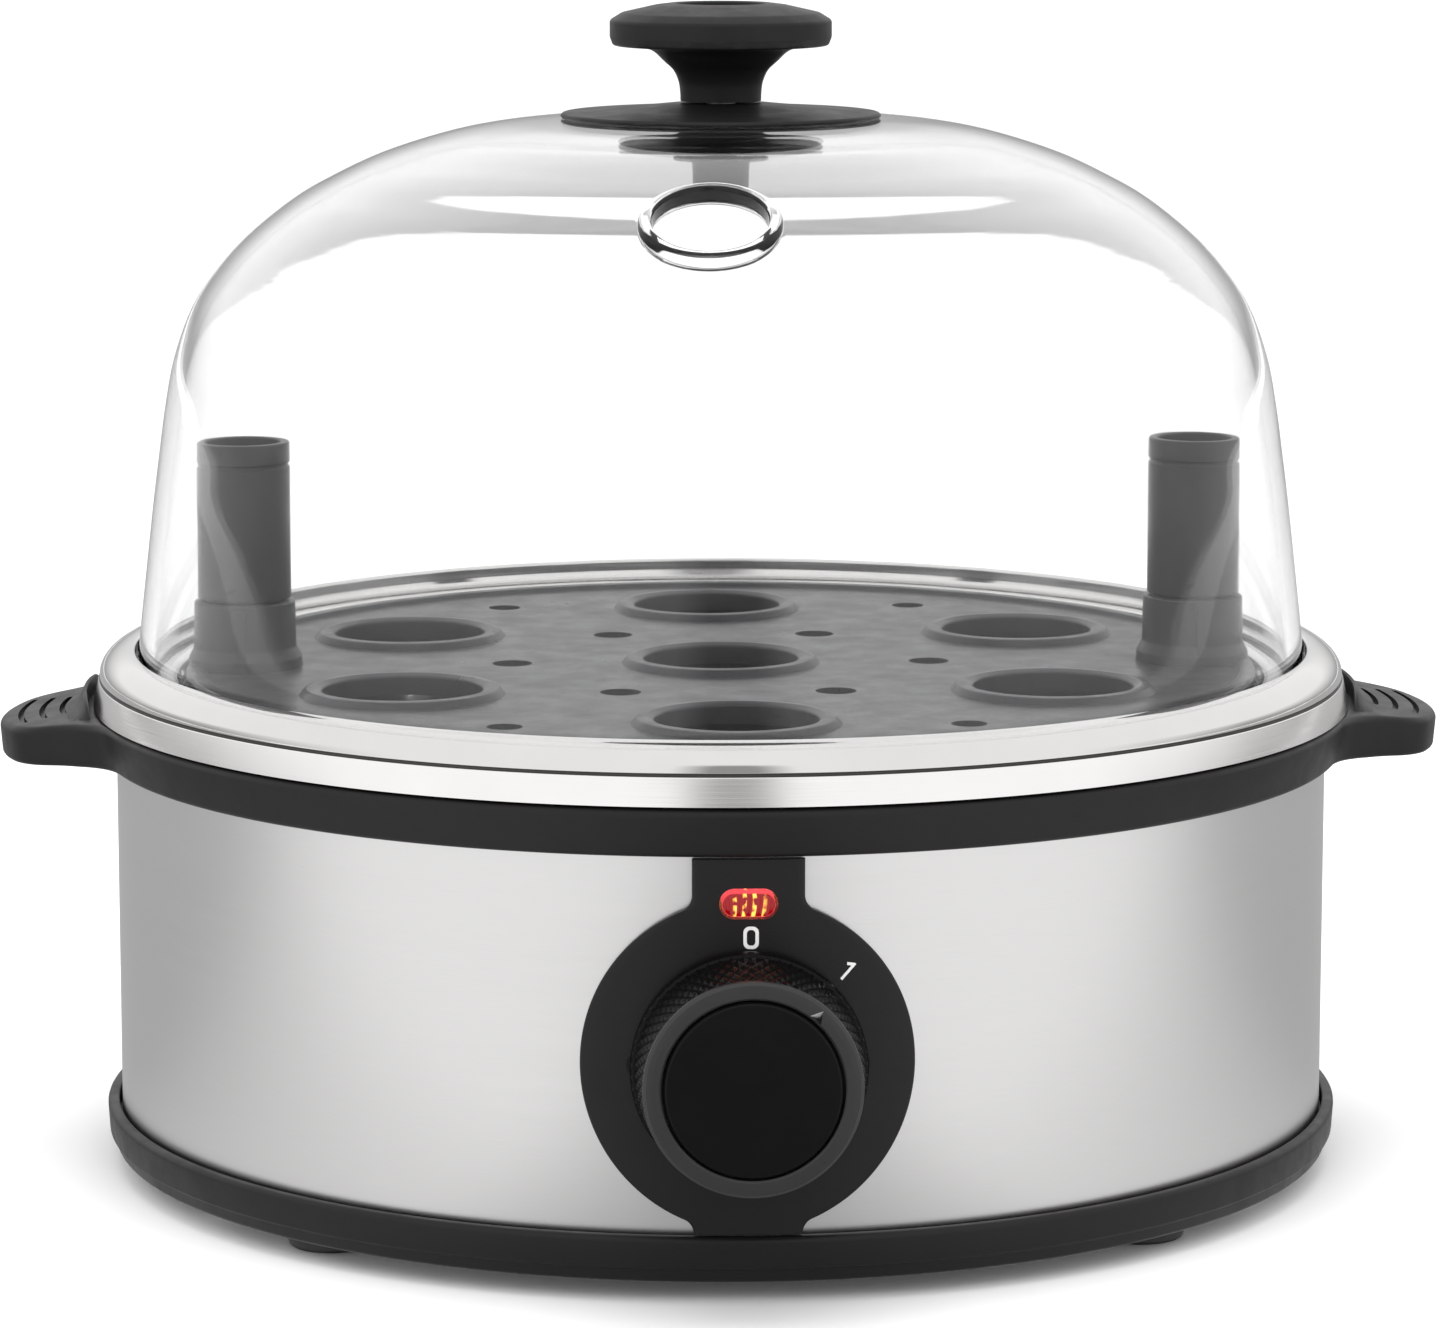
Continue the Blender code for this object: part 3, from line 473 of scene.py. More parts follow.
def mirror_steel(name, roughness, depth, pale=1.0):
    finish, tree, shader = new_finish(name, (0.78, 0.77, 0.76), roughness, 1.0)
    swirl = add(tree, "TexNoise", {"Vector": turn_place(tree, 3.0, 0.16), "Scale": 1.0,
                                   "Detail": 3.0}).outputs["Fac"]
    cloud = spots(tree, 9, 4)
    # pale above 1 gives a paler copy of the same steel, which is painted light
    tree.links.new(shade(tree, cloud, (0.74 * pale, 0.73 * pale, 0.72 * pale),
                         (0.81 * pale, 0.80 * pale, 0.79 * pale)), shader.inputs["Base Color"])
    tree.links.new(between(tree, swirl, roughness * 0.7, roughness * 1.4), shader.inputs["Roughness"])
    relief(tree, shader, swirl, depth)
    return finish


def zinc(name, colour, roughness, size=0.7):
    """Plated or cast metal with a frosted, mottled skin."""
    finish, tree, shader = new_finish(name, colour, roughness, 1.0)
    cells = add(tree, "TexVoronoi", {"Vector": own_place(tree), "Scale": 1 / (size * MM)}, feature="F1")
    paler = tuple(min(1.0, part * 1.2) for part in colour)
    tree.links.new(shade(tree, cells.outputs["Distance"], colour, paler), shader.inputs["Base Color"])
    tree.links.new(between(tree, spots(tree, size * 2, 4), roughness - 0.08, roughness + 0.1),
                   shader.inputs["Roughness"])
    relief(tree, shader, spots(tree, size / 2, 3), 0.01)
    return finish


BRUSHED = brushed_steel()
MIRROR = mirror_steel("mirror_dish_steel", 0.07, 0.0006)
# the skirt's satin polish is rougher, and its paler colour (pale 1.2) is painted light
SATIN_SKIRT_PAINTED_LIGHT = mirror_steel("dish_skirt_painted_light_steel", 0.17, 0.002, 1.2)
ZINC = zinc("zinc_plate", (0.58, 0.58, 0.56), 0.35)
CAST_ALUMINIUM = zinc("cast_aluminium", (0.66, 0.67, 0.68), 0.42, 1.4)
print("steels ready")

# %% [markdown]
# ## Clear plastic and lamp red
# The dome is moulded in clear copolyester, two millimetres thick. It bends light like glass does,
# so it is given a real wall and a real refractive index, and the edges darken and double by
# themselves. A lamp's light would be blocked by such a shader, so shadow rays meet a plain
# see-through one, which keeps the tray under the dome lit. The indicator is a red lens over a neon
# lamp: it glows, with hot facets where the ribs inside the lens bend the glow to the eye.


# %% Clear and glowing plastics
def clear_plastic(name, tint, roughness=0.02):
    finish, tree, shader = new_finish(name, tint, roughness)
    shader.inputs["Transmission Weight"].default_value = 1.0
    shader.inputs["IOR"].default_value = 1.42
    haze = spots(tree, 11, 5, roughness=0.7)
    tree.links.new(between(tree, haze, roughness * 0.4, roughness * 1.8), shader.inputs["Roughness"])
    relief(tree, shader, spots(tree, 26, 2), 0.02)
    open_way = add(tree, "BsdfTransparent", {"Color": (0.96, 0.965, 0.965, 1)})
    shadow = add(tree, "LightPath").outputs["Is Shadow Ray"]
    both = add(tree, "MixShader", {0: shadow, 1: shader.outputs[0], 2: open_way.outputs[0]})
    tree.links.new(both.outputs[0], tree.nodes["Material Output"].inputs["Surface"])
    return finish


def lit_lens():
    """Deep red with bright ribs behind it and a bright line just inside its edge."""
    finish, tree, shader = new_finish("lit_red_lens", (0.10, 0.001, 0.002), 0.1)
    parts = add(tree, "SeparateXYZ", {"Vector": own_place(tree)})
    across, up = (add(tree, "Math", {0: parts.outputs[axis]}, operation="ABSOLUTE").outputs[0]
                  for axis in "XY")
    past_middle = add(tree, "Math", {0: across, 1: 1.72 * MM}, operation="SUBTRACT").outputs[0]
    past_middle = add(tree, "Math", {0: past_middle, 1: 0.0}, operation="MAXIMUM").outputs[0]
    flat = add(tree, "CombineXYZ", {"X": past_middle, "Y": up}).outputs["Vector"]
    from_spine = add(tree, "VectorMath", {0: flat}, operation="LENGTH").outputs["Value"]
    rim = between(tree, from_spine, 0.0, 1.0, 1.27 * MM, 1.40 * MM)
    ribs = add(tree, "TexWave", {"Vector": own_place(tree), "Scale": 265.0, "Distortion": 2.5,
                                 "Detail": 1.0}, bands_direction="X").outputs["Fac"]
    patch = between(tree, spots(tree, 0.9, 1), 0.0, 1.0, 0.44, 0.56)
    near_middle = between(tree, across, 1.0, 0.0, 1.5 * MM, 2.3 * MM)
    lit = add(tree, "Math", {0: between(tree, ribs, 0.0, 1.0, 0.55, 0.85), 1: patch}, operation="MULTIPLY")
    lit = add(tree, "Math", {0: lit.outputs[0], 1: near_middle}, operation="MULTIPLY").outputs[0]
    glow = shade(tree, lit, (0.24, 0.0, 0.003), (2.2, 1.05, 0.16))
    mix = add(tree, "Mix", {0: rim}, data_type="RGBA")
    tree.links.new(glow, mix.inputs[6])
    mix.inputs[7].default_value = (1.0, 0.10, 0.12, 1)
    tree.links.new(mix.outputs[2], shader.inputs["Emission Color"])
    shader.inputs["Emission Strength"].default_value = 1.0
    relief(tree, shader, ribs, 0.2)
    return finish


def warm_lamp():
    finish, tree, shader = new_finish("neon_lamp_glass", (0.95, 0.72, 0.5), 0.06)
    shader.inputs["Transmission Weight"].default_value = 0.6
    tree.links.new(shade(tree, spots(tree, 1.2, 2), (1.0, 0.22, 0.05), (1.0, 0.5, 0.2)),
                   shader.inputs["Emission Color"])
    shader.inputs["Emission Strength"].default_value = 2.0
    return finish


CLEAR = clear_plastic("clear_dome_plastic", (0.993, 0.995, 0.995))
LIT_RED = lit_lens()
NEON = warm_lamp()
print("clear and glowing plastics ready")

# %% [markdown]
# ## Wire and sleeve
# Inside, the leads are silicone rubber over stranded copper, and the thermal fuse lies in a woven
# glass sleeve. A weave is two sets of waves crossing at right angles, laid round the piece.


# %% Wires
def insulation(name, colour):
    finish = moulded(name, colour, 0.5, grain=0.35, depth=0.015, lift=1.25)
    finish.node_tree.nodes["Principled BSDF"].inputs["Coat Weight"].default_value = 0.15
    return finish


def woven_sleeve():
    finish, tree, shader = new_finish("woven_glass_sleeve", (0.72, 0.70, 0.64), 0.85)
    one = add(tree, "TexWave", {"Vector": own_place(tree), "Scale": 260.0}, bands_direction="DIAGONAL")
    turned_place = add(tree, "Mapping", {"Vector": own_place(tree), "Rotation": (0, 0, math.pi / 2)})
    two = add(tree, "TexWave", {"Vector": turned_place.outputs[0], "Scale": 260.0},
              bands_direction="DIAGONAL")
    both = add(tree, "Math", {0: one.outputs["Fac"], 1: two.outputs["Fac"]}, operation="MAXIMUM")
    weave = both.outputs[0]
    tree.links.new(shade(tree, weave, (0.60, 0.57, 0.50), (0.80, 0.78, 0.72)),
                   shader.inputs["Base Color"])
    relief(tree, shader, weave, 0.15)
    return finish


LEAD_BROWN = insulation("lead_brown_rubber", (0.15, 0.065, 0.03))
LEAD_BLUE = insulation("lead_blue_rubber", (0.03, 0.085, 0.33))
LEAD_GREEN = insulation("lead_green_rubber", (0.15, 0.33, 0.05))
SLEEVE = woven_sleeve()
print(len(bpy.data.materials), "finishes in all")

# %% [markdown]
# ## Handing a solid over
# Every finished piece goes through one door: it becomes an object standing on its own axis, its
# round faces are shaded smooth and its true edges kept crisp, it wears its finish, it is parented to
# the body that it moves with, and the plain pieces that it stands for are hidden.


# %% Finishing a piece
def finish_piece(name, solid, finish, body, stands_for=(), place=AXIS, turn=None, crease=35):
    mesh = bpy.data.meshes.new(name)
    solid.to_mesh(mesh)
    solid.free()
    mesh.materials.clear()
    mesh.materials.append(finish)
    mesh.shade_smooth()
    mesh.set_sharp_from_angle(angle=math.radians(crease))
    piece = bpy.data.objects.new(name, mesh)
    bpy.context.scene.collection.objects.link(piece)
    piece.location = place
    if turn:
        piece.rotation_euler = turn.to_euler()
    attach(piece, body)
    if stands_for:
        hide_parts(*stands_for)
    print(f"{name}: {len(mesh.polygons)} faces, rides on {body}")
    return piece

# %% [markdown]
# ## The base pan
# The bottom of the cooker is one black moulding: a flat floor with a low rim. The steel wrap
# stands in a groove in that rim, and the part of the rim outside the groove shows as a dark ledge
# under the steel, with a small step near the floor. It could be modelled as a cylinder with loops
# cut in, but it is quicker and truer to draw its section once and spin it.

# %% Base pan
STEP_UP = 1.9          # from the pan's underside to the step in its outer wall
GROOVE_INNER, GROOVE_OUTER = WRAP_RADIUS - 1.0, WRAP_RADIUS + 0.35
PAN_LEDGE = 8.15
PAN_FLOOR, PAN_UNDER = PAN_FOOT + 2.6, PAN_FOOT + 1.0
pan_section = softened([
    (0, PAN_FLOOR, 0), (75.2, PAN_FLOOR, 0.5), (75.2, PAN_TOP, 0.3), (GROOVE_INNER, PAN_TOP, 0.3),
    (GROOVE_INNER, 6.2, 0.15), (GROOVE_OUTER, 6.2, 0.15), (GROOVE_OUTER, PAN_LEDGE, 0.3),
    (PAN_RADIUS, PAN_LEDGE, 0.75), (PAN_RADIUS - 0.25, PAN_FOOT + STEP_UP, 0.25),
    (PAN_RADIUS - 0.75, PAN_FOOT + STEP_UP - 0.3, 0.2), (PAN_RADIUS - 1.1, PAN_FOOT, 0.6),
    (77.4, PAN_FOOT, 0.4), (76.6, PAN_UNDER, 0.3), (52.0, PAN_UNDER, 0.2), (51.4, PAN_UNDER - 0.5, 0.2),
    (50.2, PAN_UNDER - 0.5, 0.2), (49.6, PAN_UNDER, 0.2), (0, PAN_UNDER, 0),
])
base_pan = turned(pan_section)
print("pan section has", len(pan_section), "points")

# %% [markdown]
# Four hollow bosses take the screws that pull the pan up against the collar, and twelve slots in a
# rosette let cool air in under the heater. Both are cut and joined as the mould would form them.

# %% Bosses and cooling slots
SCREW_LOW, SCREW_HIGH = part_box("base_screw_1")
SCREW_RING = (SCREW_LOW.x + SCREW_HIGH.x) / 2 / MM / math.cos(math.radians(30))
SCREW_ANGLES = (30, 150, 210, 330)
screw_spots = [around(SCREW_RING, angle) for angle in SCREW_ANGLES]
bosses = [moved(disc(3.25, PAN_UNDER + 0.4, PAN_TOP - 0.3), spot) for spot in screw_spots]
pockets = [moved(disc(2.8, PAN_FOOT - 1, 5.6), spot) for spot in screw_spots]
shanks = [moved(disc(1.8, 5.0, PAN_TOP + 1), spot) for spot in screw_spots]
slots = []
for number in range(12):
    angle = number * 30 + 18.75
    turn = Matrix.Rotation(math.radians(angle), 3, "Z")
    slots.append(moved(slab(stadium(18, 3, 8), PAN_FOOT - 1, PAN_FLOOR + 1), around(30, angle), turn))
base_pan = cut(joined(base_pan, gathered(bosses)), gathered(pockets), gathered(shanks), gathered(slots))
finish_piece("base_pan_moulding", base_pan, SATIN_BLACK, "base", ("base_pan",))

# %% [markdown]
# ## Feet
# Soft pads keep the cooker from sliding. Each has a rounded rim and a shallow dimple, which lets
# it grip. A pad is round, so one short section is turned for each of them, on its own middle.


# %% Feet
def make_foot(name):
    low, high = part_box(name)
    radius, top = (high.x - low.x) / 2 / MM, high.z / MM
    section = softened([(0, top, 0), (radius - 0.1, top, 0.3), (radius, top - 1.2, 0.6),
                        (radius - 0.7, 0, 0.7), (2.8, 0, 0.4), (2.2, 0.45, 0.3), (0, 0.45, 0)])
    middle = Vector(((low.x + high.x) / 2, (low.y + high.y) / 2, 0))
    finish_piece(name + "_pad", turned(section, SMALL_ROUND), FOOT_RUBBER, "base", (name,),
                 middle)


for foot in ("foot_back_right", "foot_back_left", "foot_front_left", "foot_front_right"):
    make_foot(foot)

# %% [markdown]
# ## Screws
# The screws are pan heads with a cross recess. The recess is cut with two crossed blades that
# taper to a point, as the punch that forms a real one does. The thread is left plain, because it
# is out of sight in its boss.


# %% Screws
def cross_recess(width, depth, at_height):
    """Two crossed blades, point down, as a cutter for a screw head that faces up."""
    blades = []
    for angle in (0, 90):
        profile = [(-width, 0.5), (width, 0.5), (width * 0.45, -depth), (-width * 0.45, -depth)]
        blade = slab(profile, -0.28, 0.28)
        turn = Matrix.Rotation(math.radians(angle), 3, "Z") @ Matrix.Rotation(math.pi / 2, 3, "X")
        blades.append(moved(blade, (0, 0, at_height), turn))
    return blades


def make_base_screw(number, angle):
    head_down = Matrix.Rotation(math.pi, 3, "X")
    foot, top = (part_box(f"base_screw_{number}")[end].z / MM for end in (0, 1))
    head = softened([(0, -foot, 0), (1.9, -foot, 0.8), (2.5, -foot - 0.8, 0.3), (2.5, -5.3, 0.1),
                     (1.4, -5.3, 0.1), (1.4, -top + 1.2, 0), (0.5, -top, 0.1), (0, -top, 0)])
    screw = cut(turned(head, 48), *cross_recess(1.25, 1.1, -foot))
    place = AXIS + around(SCREW_RING, angle) * MM
    finish_piece(f"base_screw_{number}_cross", screw, ZINC, "base",
                 (f"base_screw_{number}",), place, head_down)


for number, angle in enumerate(SCREW_ANGLES, 1):
    make_base_screw(number, angle)

# %% [markdown]
# ## The steel wrap
# The bright body of the cooker is a strip of brushed sheet rolled into a hoop, with its ends
# lapped and spot welded at the back, where nobody looks. A hoop is a thin upright section spun
# round. The lap shows as a fine line and a row of small round weld marks. Cut-outs in the front
# let the switch, the lamp and the fascia's pegs through, and one at the back the cord entry.

# %% Wrap
SHEET = 0.6
DIAL_LOW, DIAL_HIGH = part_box("dial_shaft")
DIAL_Z = (DIAL_LOW.z + DIAL_HIGH.z) / 2 / MM
LENS_LOW, LENS_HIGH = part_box("indicator_lens")
LENS_Z = (LENS_LOW.z + LENS_HIGH.z) / 2 / MM
LENS_WIDTH, LENS_HEIGHT = (LENS_HIGH.x - LENS_LOW.x) / MM, (LENS_HIGH.z - LENS_LOW.z) / MM
GLAND_LOW, GLAND_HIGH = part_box("cord_gland")
GLAND_Z = (GLAND_LOW.z + GLAND_HIGH.z) / 2 / MM
sheet_section = softened([
    (WRAP_RADIUS - SHEET, WRAP_FOOT, 0.1), (WRAP_RADIUS, WRAP_FOOT, 0.1), (WRAP_RADIUS, WRAP_TOP, 0.1),
    (WRAP_RADIUS - SHEET, WRAP_TOP, 0.1),
])
front_holes = [
    moved(disc(9.0, 70, 85), (0, 0, DIAL_Z), FACING_FRONT),
    moved(slab(stadium(LENS_WIDTH + 1.4, LENS_HEIGHT + 1.4), 70, 85), (0, 0, LENS_Z), FACING_FRONT),
    moved(disc(1.7, 70, 85), (-13, 0, DIAL_Z), FACING_FRONT),
    moved(disc(1.7, 70, 85), (13, 0, DIAL_Z), FACING_FRONT),
]
back_hole = moved(disc(6.0, 70, 85), (0, 0, GLAND_Z), FACING_BACK)
lap_angle = math.radians(97)
lap = moved(slab([(-0.15, -1), (0.15, -1), (0.15, 1), (-0.15, 1)], WRAP_FOOT - 1, WRAP_TOP + 1),
            Vector((math.cos(lap_angle), math.sin(lap_angle), 0)) * (WRAP_RADIUS + 0.85),
            Matrix.Rotation(lap_angle - math.pi / 2, 3, "Z"))
welds = []
for number in range(5):
    spot = around(WRAP_RADIUS + 2.85, 98.8, WRAP_FOOT + 5.5 + number * 9.4)
    welds.append(moved(turned(arc((0, 0), 3.0, 90, -90, 10), 24), spot))
wrap = cut(turned(sheet_section, 360), gathered(front_holes), back_hole, lap, gathered(welds))
finish_piece("brushed_wrap", wrap, BRUSHED, "base", ("steel_wrap",), crease=25)

# %% [markdown]
# ## The collar and its handles
# Collar and handles are one moulding: a ring that caps the wrap, with a flat tongue on each side
# that droops a little towards its tip. Seen from above, a tongue is three arcs: a wide one for the
# tip, a tight one for each corner, and a hollow one that flares into the ring. Rather than
# modelling ring and tongues apart and hiding the joint, the whole collar is woven as one skin: its
# section travels round the axis, and where there is a tongue the section simply reaches further
# out.

# %% Plan of the collar
COLLAR_RADIUS, COLLAR_FOOT, COLLAR_TOP = PAN_RADIUS + 1.1, WRAP_TOP - 1.68, WRAP_TOP + 4.14
TIP_RADIUS, CORNER_RADIUS = 25.0, 8.5
TIP_ANGLE, FLARE_ANGLE = 23.0, 70.0


def tongue_plan():
    """Half of a tongue seen from above, from its tip to the ring, as points and their outward ways."""
    tip_centre = Vector((HANDLE_REACH - TIP_RADIUS, 0))
    corner_centre = tip_centre + around(TIP_RADIUS - CORNER_RADIUS, TIP_ANGLE).to_2d()
    out = around(1, FLARE_ANGLE).to_2d()
    flare = corner_centre + out * CORNER_RADIUS
    fillet = (flare.length_squared - COLLAR_RADIUS ** 2) / (2 * (COLLAR_RADIUS - flare.dot(out)))
    fillet_centre = flare + out * fillet
    ring_angle = math.degrees(math.atan2(fillet_centre.y, fillet_centre.x))
    plan = []
    for centre, radius, start, end, steps, side in (
        (tip_centre, TIP_RADIUS, 0, TIP_ANGLE, 12, 1),
        (corner_centre, CORNER_RADIUS, TIP_ANGLE, FLARE_ANGLE, 16, 1),
        (fillet_centre, fillet, FLARE_ANGLE, ring_angle, 18, -1),
    ):
        for k in range(steps):
            way = around(1, start + (end - start) * k / steps).to_2d()
            plan.append((centre + way * radius * side, way))
    return plan, ring_angle


half_tongue, ring_angle = tongue_plan()
print(f"a tongue leaves the ring {ring_angle:.1f} degrees from its middle")

# %% [markdown]
# The plan is mirrored to make a whole tongue, turned to make the other one, and the ring between
# them is filled in with plain steps. The section then follows each point of the plan: the
# moulding's edges are rounded along the outward way, and the top falls away with the distance from
# the axis.

# %% Weave the collar
DROOP_FROM, DROOP = COLLAR_RADIUS - 0.4, 0.155     # where the tongue starts to fall, and its slope
UNDER_DROOP = 0.05
SEAT_EDGE = 79.3                                   # where the flat top that carries the dish ends
WRAP_POCKET_TOP = 55.5                             # the roof of the pocket that the wrap stands in


def collar_plan():
    mirrored = [(Vector((p.x, -p.y)), Vector((w.x, -w.y))) for p, w in reversed(half_tongue[1:])]
    tongue = mirrored + half_tongue
    gap_steps = 100
    ring = []
    for k in range(gap_steps + 1):
        way = around(1, ring_angle + (180 - 2 * ring_angle) * k / gap_steps).to_2d()
        ring.append((way * COLLAR_RADIUS, way))
    half = tongue + ring
    return half + [(-point, -way) for point, way in half]


def edge_profile():
    """How far in from the outline, and how far below the top or above the foot, an edge runs."""
    top_round, foot_round, draft = 0.9, 0.7, 0.25
    top = [(top_round - top_round * math.sin(a), top_round - top_round * math.cos(a), True)
           for a in (math.radians(15 * k) for k in range(7))]
    foot = [(draft + foot_round - foot_round * math.cos(a), foot_round - foot_round * math.sin(a), False)
            for a in (math.radians(15 * k) for k in range(7))]
    return top + foot


def collar_row(point, way):
    bearing = math.degrees(math.atan2(point.y, point.x))
    tongue_share = min(1.0, (point.length - COLLAR_RADIUS) / 3)
    row = [around(r, bearing, z) for r, z in softened([
        (GROOVE_OUTER, COLLAR_FOOT, 0), (GROOVE_OUTER, WRAP_POCKET_TOP, 0),
        (GROOVE_INNER, WRAP_POCKET_TOP, 0), (GROOVE_INNER, COLLAR_FOOT, 0), (67.5, COLLAR_FOOT, 0),
        (67.5, WRAP_POCKET_TOP, 0.3), (71.5, WRAP_POCKET_TOP, 0.3), (71.5, COLLAR_TOP, 0.3),
    ])]
    row.append(around(SEAT_EDGE, bearing, COLLAR_TOP))
    reach_in = point - way * 0.9
    for share in (0.33, 0.66):
        row.append(Vector((*around(SEAT_EDGE, bearing).to_2d().lerp(reach_in, share), COLLAR_TOP)))
    draft_more = 0.75 * (1 - tongue_share)      # the bare ring leans in more towards its foot
    for inset, away, from_top in edge_profile():
        spot = point - way * (inset if from_top else inset + draft_more)
        up = COLLAR_TOP - away if from_top else COLLAR_FOOT + away
        row.append(Vector((spot.x, spot.y, up)))
    for spot in row[-17:]:
        beyond = max(0.0, spot.to_2d().length - DROOP_FROM)
        spot.z -= beyond * (DROOP if spot.z > (COLLAR_TOP + COLLAR_FOOT) / 2 else UNDER_DROOP)
    return row


collar = woven([collar_row(point, way) for point, way in collar_plan()])
print("collar skin has", len(collar.verts), "points")

# %% [markdown]
# Three curved grooves are sunk into each tongue, so that a wet thumb finds grip, and a low wall at
# the tongue's root keeps it off the hot dish. The grooves' cutters are sheared to follow the
# droop, so that they stay equally deep.

# %% Grip grooves, thumb guards and pillars
GRIP_WIDTH, GRIP_DEPTH, GRIP_CURVE = 0.75, 0.65, 35.0
GRIPS = ((85.0, 6.2), (87.6, 7.6), (90.3, 8.6))      # each groove's reach outwards, and half its length


def sheared(solid):
    for dot in solid.verts:
        dot.co.z -= max(0.0, dot.co.x - DROOP_FROM * MM) * DROOP
    return solid


def grip_cutters():
    cutters = []
    for reach_out, half_length in GRIPS:
        centre = (reach_out - GRIP_CURVE, 0)
        swing = math.degrees(half_length / GRIP_CURVE)
        half = GRIP_WIDTH / 2
        ends = [around(GRIP_CURVE, side * swing).to_2d() + Vector(centre) for side in (-1, 1)]
        outline = arc(centre, GRIP_CURVE + half, -swing, swing, 14)[1:-1]
        outline += arc(ends[1], half, swing, swing + 180, 8)
        outline += arc(centre, GRIP_CURVE - half, swing, -swing, 14)[1:-1]
        outline += arc(ends[0], half, 180 - swing, 360 - swing, 8)
        cutters.append(sheared(slab(outline, COLLAR_TOP - GRIP_DEPTH, COLLAR_TOP + 1.5)))
    return cutters


def thumb_guard():
    """A low curved wall close to the dish, with a sharp crest, that runs out into the tongue's top."""
    inner, height, swing, steps = 81.6, 2.2, 10.5, 36
    rows = []
    for k in range(steps + 1):
        part = 2 * k / steps - 1
        rise = (height + 1.0) * (1 - abs(part) ** 5)
        section = [(inner, -1.6), (inner + 0.1, rise - 1.2), (inner + 0.28, rise - 1.0),
                   (inner + 0.6, 0.93 * rise - 1.0), (inner + 0.95, 0.66 * rise - 1.0),
                   (inner + 1.5, 0.42 * rise - 1.0), (inner + 2.6, 0.22 * rise - 1.0),
                   (inner + 2.6, -1.6)]
        section = [(out, COLLAR_TOP + up) for out, up in section]
        rows.append([around(r, part * swing, z) for r, z in section])
    return woven(rows, ring=False)


def both_sides(make):
    """What make gives for the right tongue, and its mirror image for the left one."""
    right = make()
    left = make()
    for solid in left:
        solid.transform(Matrix.Scale(-1, 4, (1, 0, 0)))
        bmesh.ops.reverse_faces(solid, faces=solid.faces)
    return right + left


pillars = [moved(disc(3.2, PAN_TOP + 0.3, 56.5, 32), spot) for spot in screw_spots]
pilots = [moved(disc(1.7, 7.0, 25.0, 24), spot) for spot in screw_spots]
guards = both_sides(lambda: [thumb_guard()])
collar = joined(collar, gathered(pillars), gathered(guards))
collar = cut(collar, gathered(both_sides(grip_cutters)), gathered(pilots))
finish_piece("collar_and_handles", collar, SATIN_BLACK, "base", ("collar_ring",),
             crease=30)

# %% [markdown]
# ## The heated dish
# The water boils in a shallow dish drawn from one disc of mirror sheet. From outside it is a
# narrow bright skirt, then a full round shoulder that the lid sits inside. The line of the sheet's
# outer face is drawn from the skirt over the shoulder down to the floor, and the sheet's thickness
# goes to its inner side. The skirt was left with a satin polish, so its faces get a second finish
# on the same mesh, rougher and also paler, and the paler colour is painted light. The fine crease
# above the skirt gets a third, dark finish, which is painted shade.

# %% Dish
DISH_SHEET = 1.0
SKIRT_FOOT = COLLAR_TOP + 0.3
SKIRT_TOP = 63.0
LID_LEDGE, TRAY_LEDGE = DOME_FOOT - 0.3, TRAY_FOOT - 0.3
SHOULDER_INNER = 75.9
shoulder_foot, shoulder_wide = SKIRT_TOP + 0.5, DISH_RADIUS - 0.85 - SHOULDER_INNER
shoulder = [(SHOULDER_INNER + x * shoulder_wide, shoulder_foot + y * (DISH_CREST - shoulder_foot), 0)
            for x, y in arc((0, 0), 1, 12, 88, 16)]
face_line = softened([
    (DISH_RADIUS, SKIRT_FOOT, 0), (DISH_RADIUS - 0.1, SKIRT_FOOT + 0.5, 0.3),
    (DISH_RADIUS - 0.72, SKIRT_TOP, 0.15), (DISH_RADIUS - 1.1, SKIRT_TOP + 0.2, 0.15),
    (DISH_RADIUS - 0.85, SKIRT_TOP + 0.5, 0.1), *shoulder,
    (75.4, DISH_CREST, 0.45), (75.4, LID_LEDGE, 0.6), (70.0, LID_LEDGE, 1.25), (69.7, TRAY_LEDGE, 0.9),
    (66.2, TRAY_LEDGE, 2.5), (59.4, 50.0, 3.5), (55.0, DISH_FLOOR + DISH_SHEET, 5.0),
    (0, DISH_FLOOR + DISH_SHEET, 0),
], 8)
dish = turned(face_line + beside(face_line, DISH_SHEET)[::-1], 360)
dish_piece = finish_piece("mirror_dish", dish, MIRROR, "base", ("dish",))
dish_piece.data.materials.append(SATIN_SKIRT_PAINTED_LIGHT)
dish_piece.data.materials.append(CREASE_PAINTED_SHADE)
for face in dish_piece.data.polygons:
    out, up = face.center.xy.length / MM, face.center.z / MM
    # skirt faces get the satin polish, with a paler colour that is painted light
    if out > DISH_RADIUS - 2.0 and up < SKIRT_TOP + 0.05:
        face.material_index = 1
    # crease faces get the dark finish, which is painted shade
    elif out > DISH_RADIUS - 1.15 and up < SKIRT_TOP + 0.42:
        face.material_index = 2

# %% [markdown]
# ## The fascia
# A thin black plate hides the cut-outs in the wrap: a disc round the dial, with a stem up to the
# collar and one down to the base. It follows the curve of the body. The plate is drawn flat, as
# rows that run from its left edge to its right edge, and each row is then bent round the body's
# axis. Because every row starts and ends with the same few points round the plate's edge, the soft
# edge comes along by itself.

# %% Plan of the fascia
FASCIA_BACK, FASCIA_FACE = WRAP_RADIUS + 0.3, WRAP_RADIUS + 1.5
DISC_RADIUS, STEM_UP, STEM_DOWN, FASCIA_FILLET = 20.0, 6.65, 6.45, 2.0
FASCIA_TOP = COLLAR_FOOT - 0.3 - DIAL_Z
FASCIA_FOOT = PAN_LEDGE + 0.3 - DIAL_Z


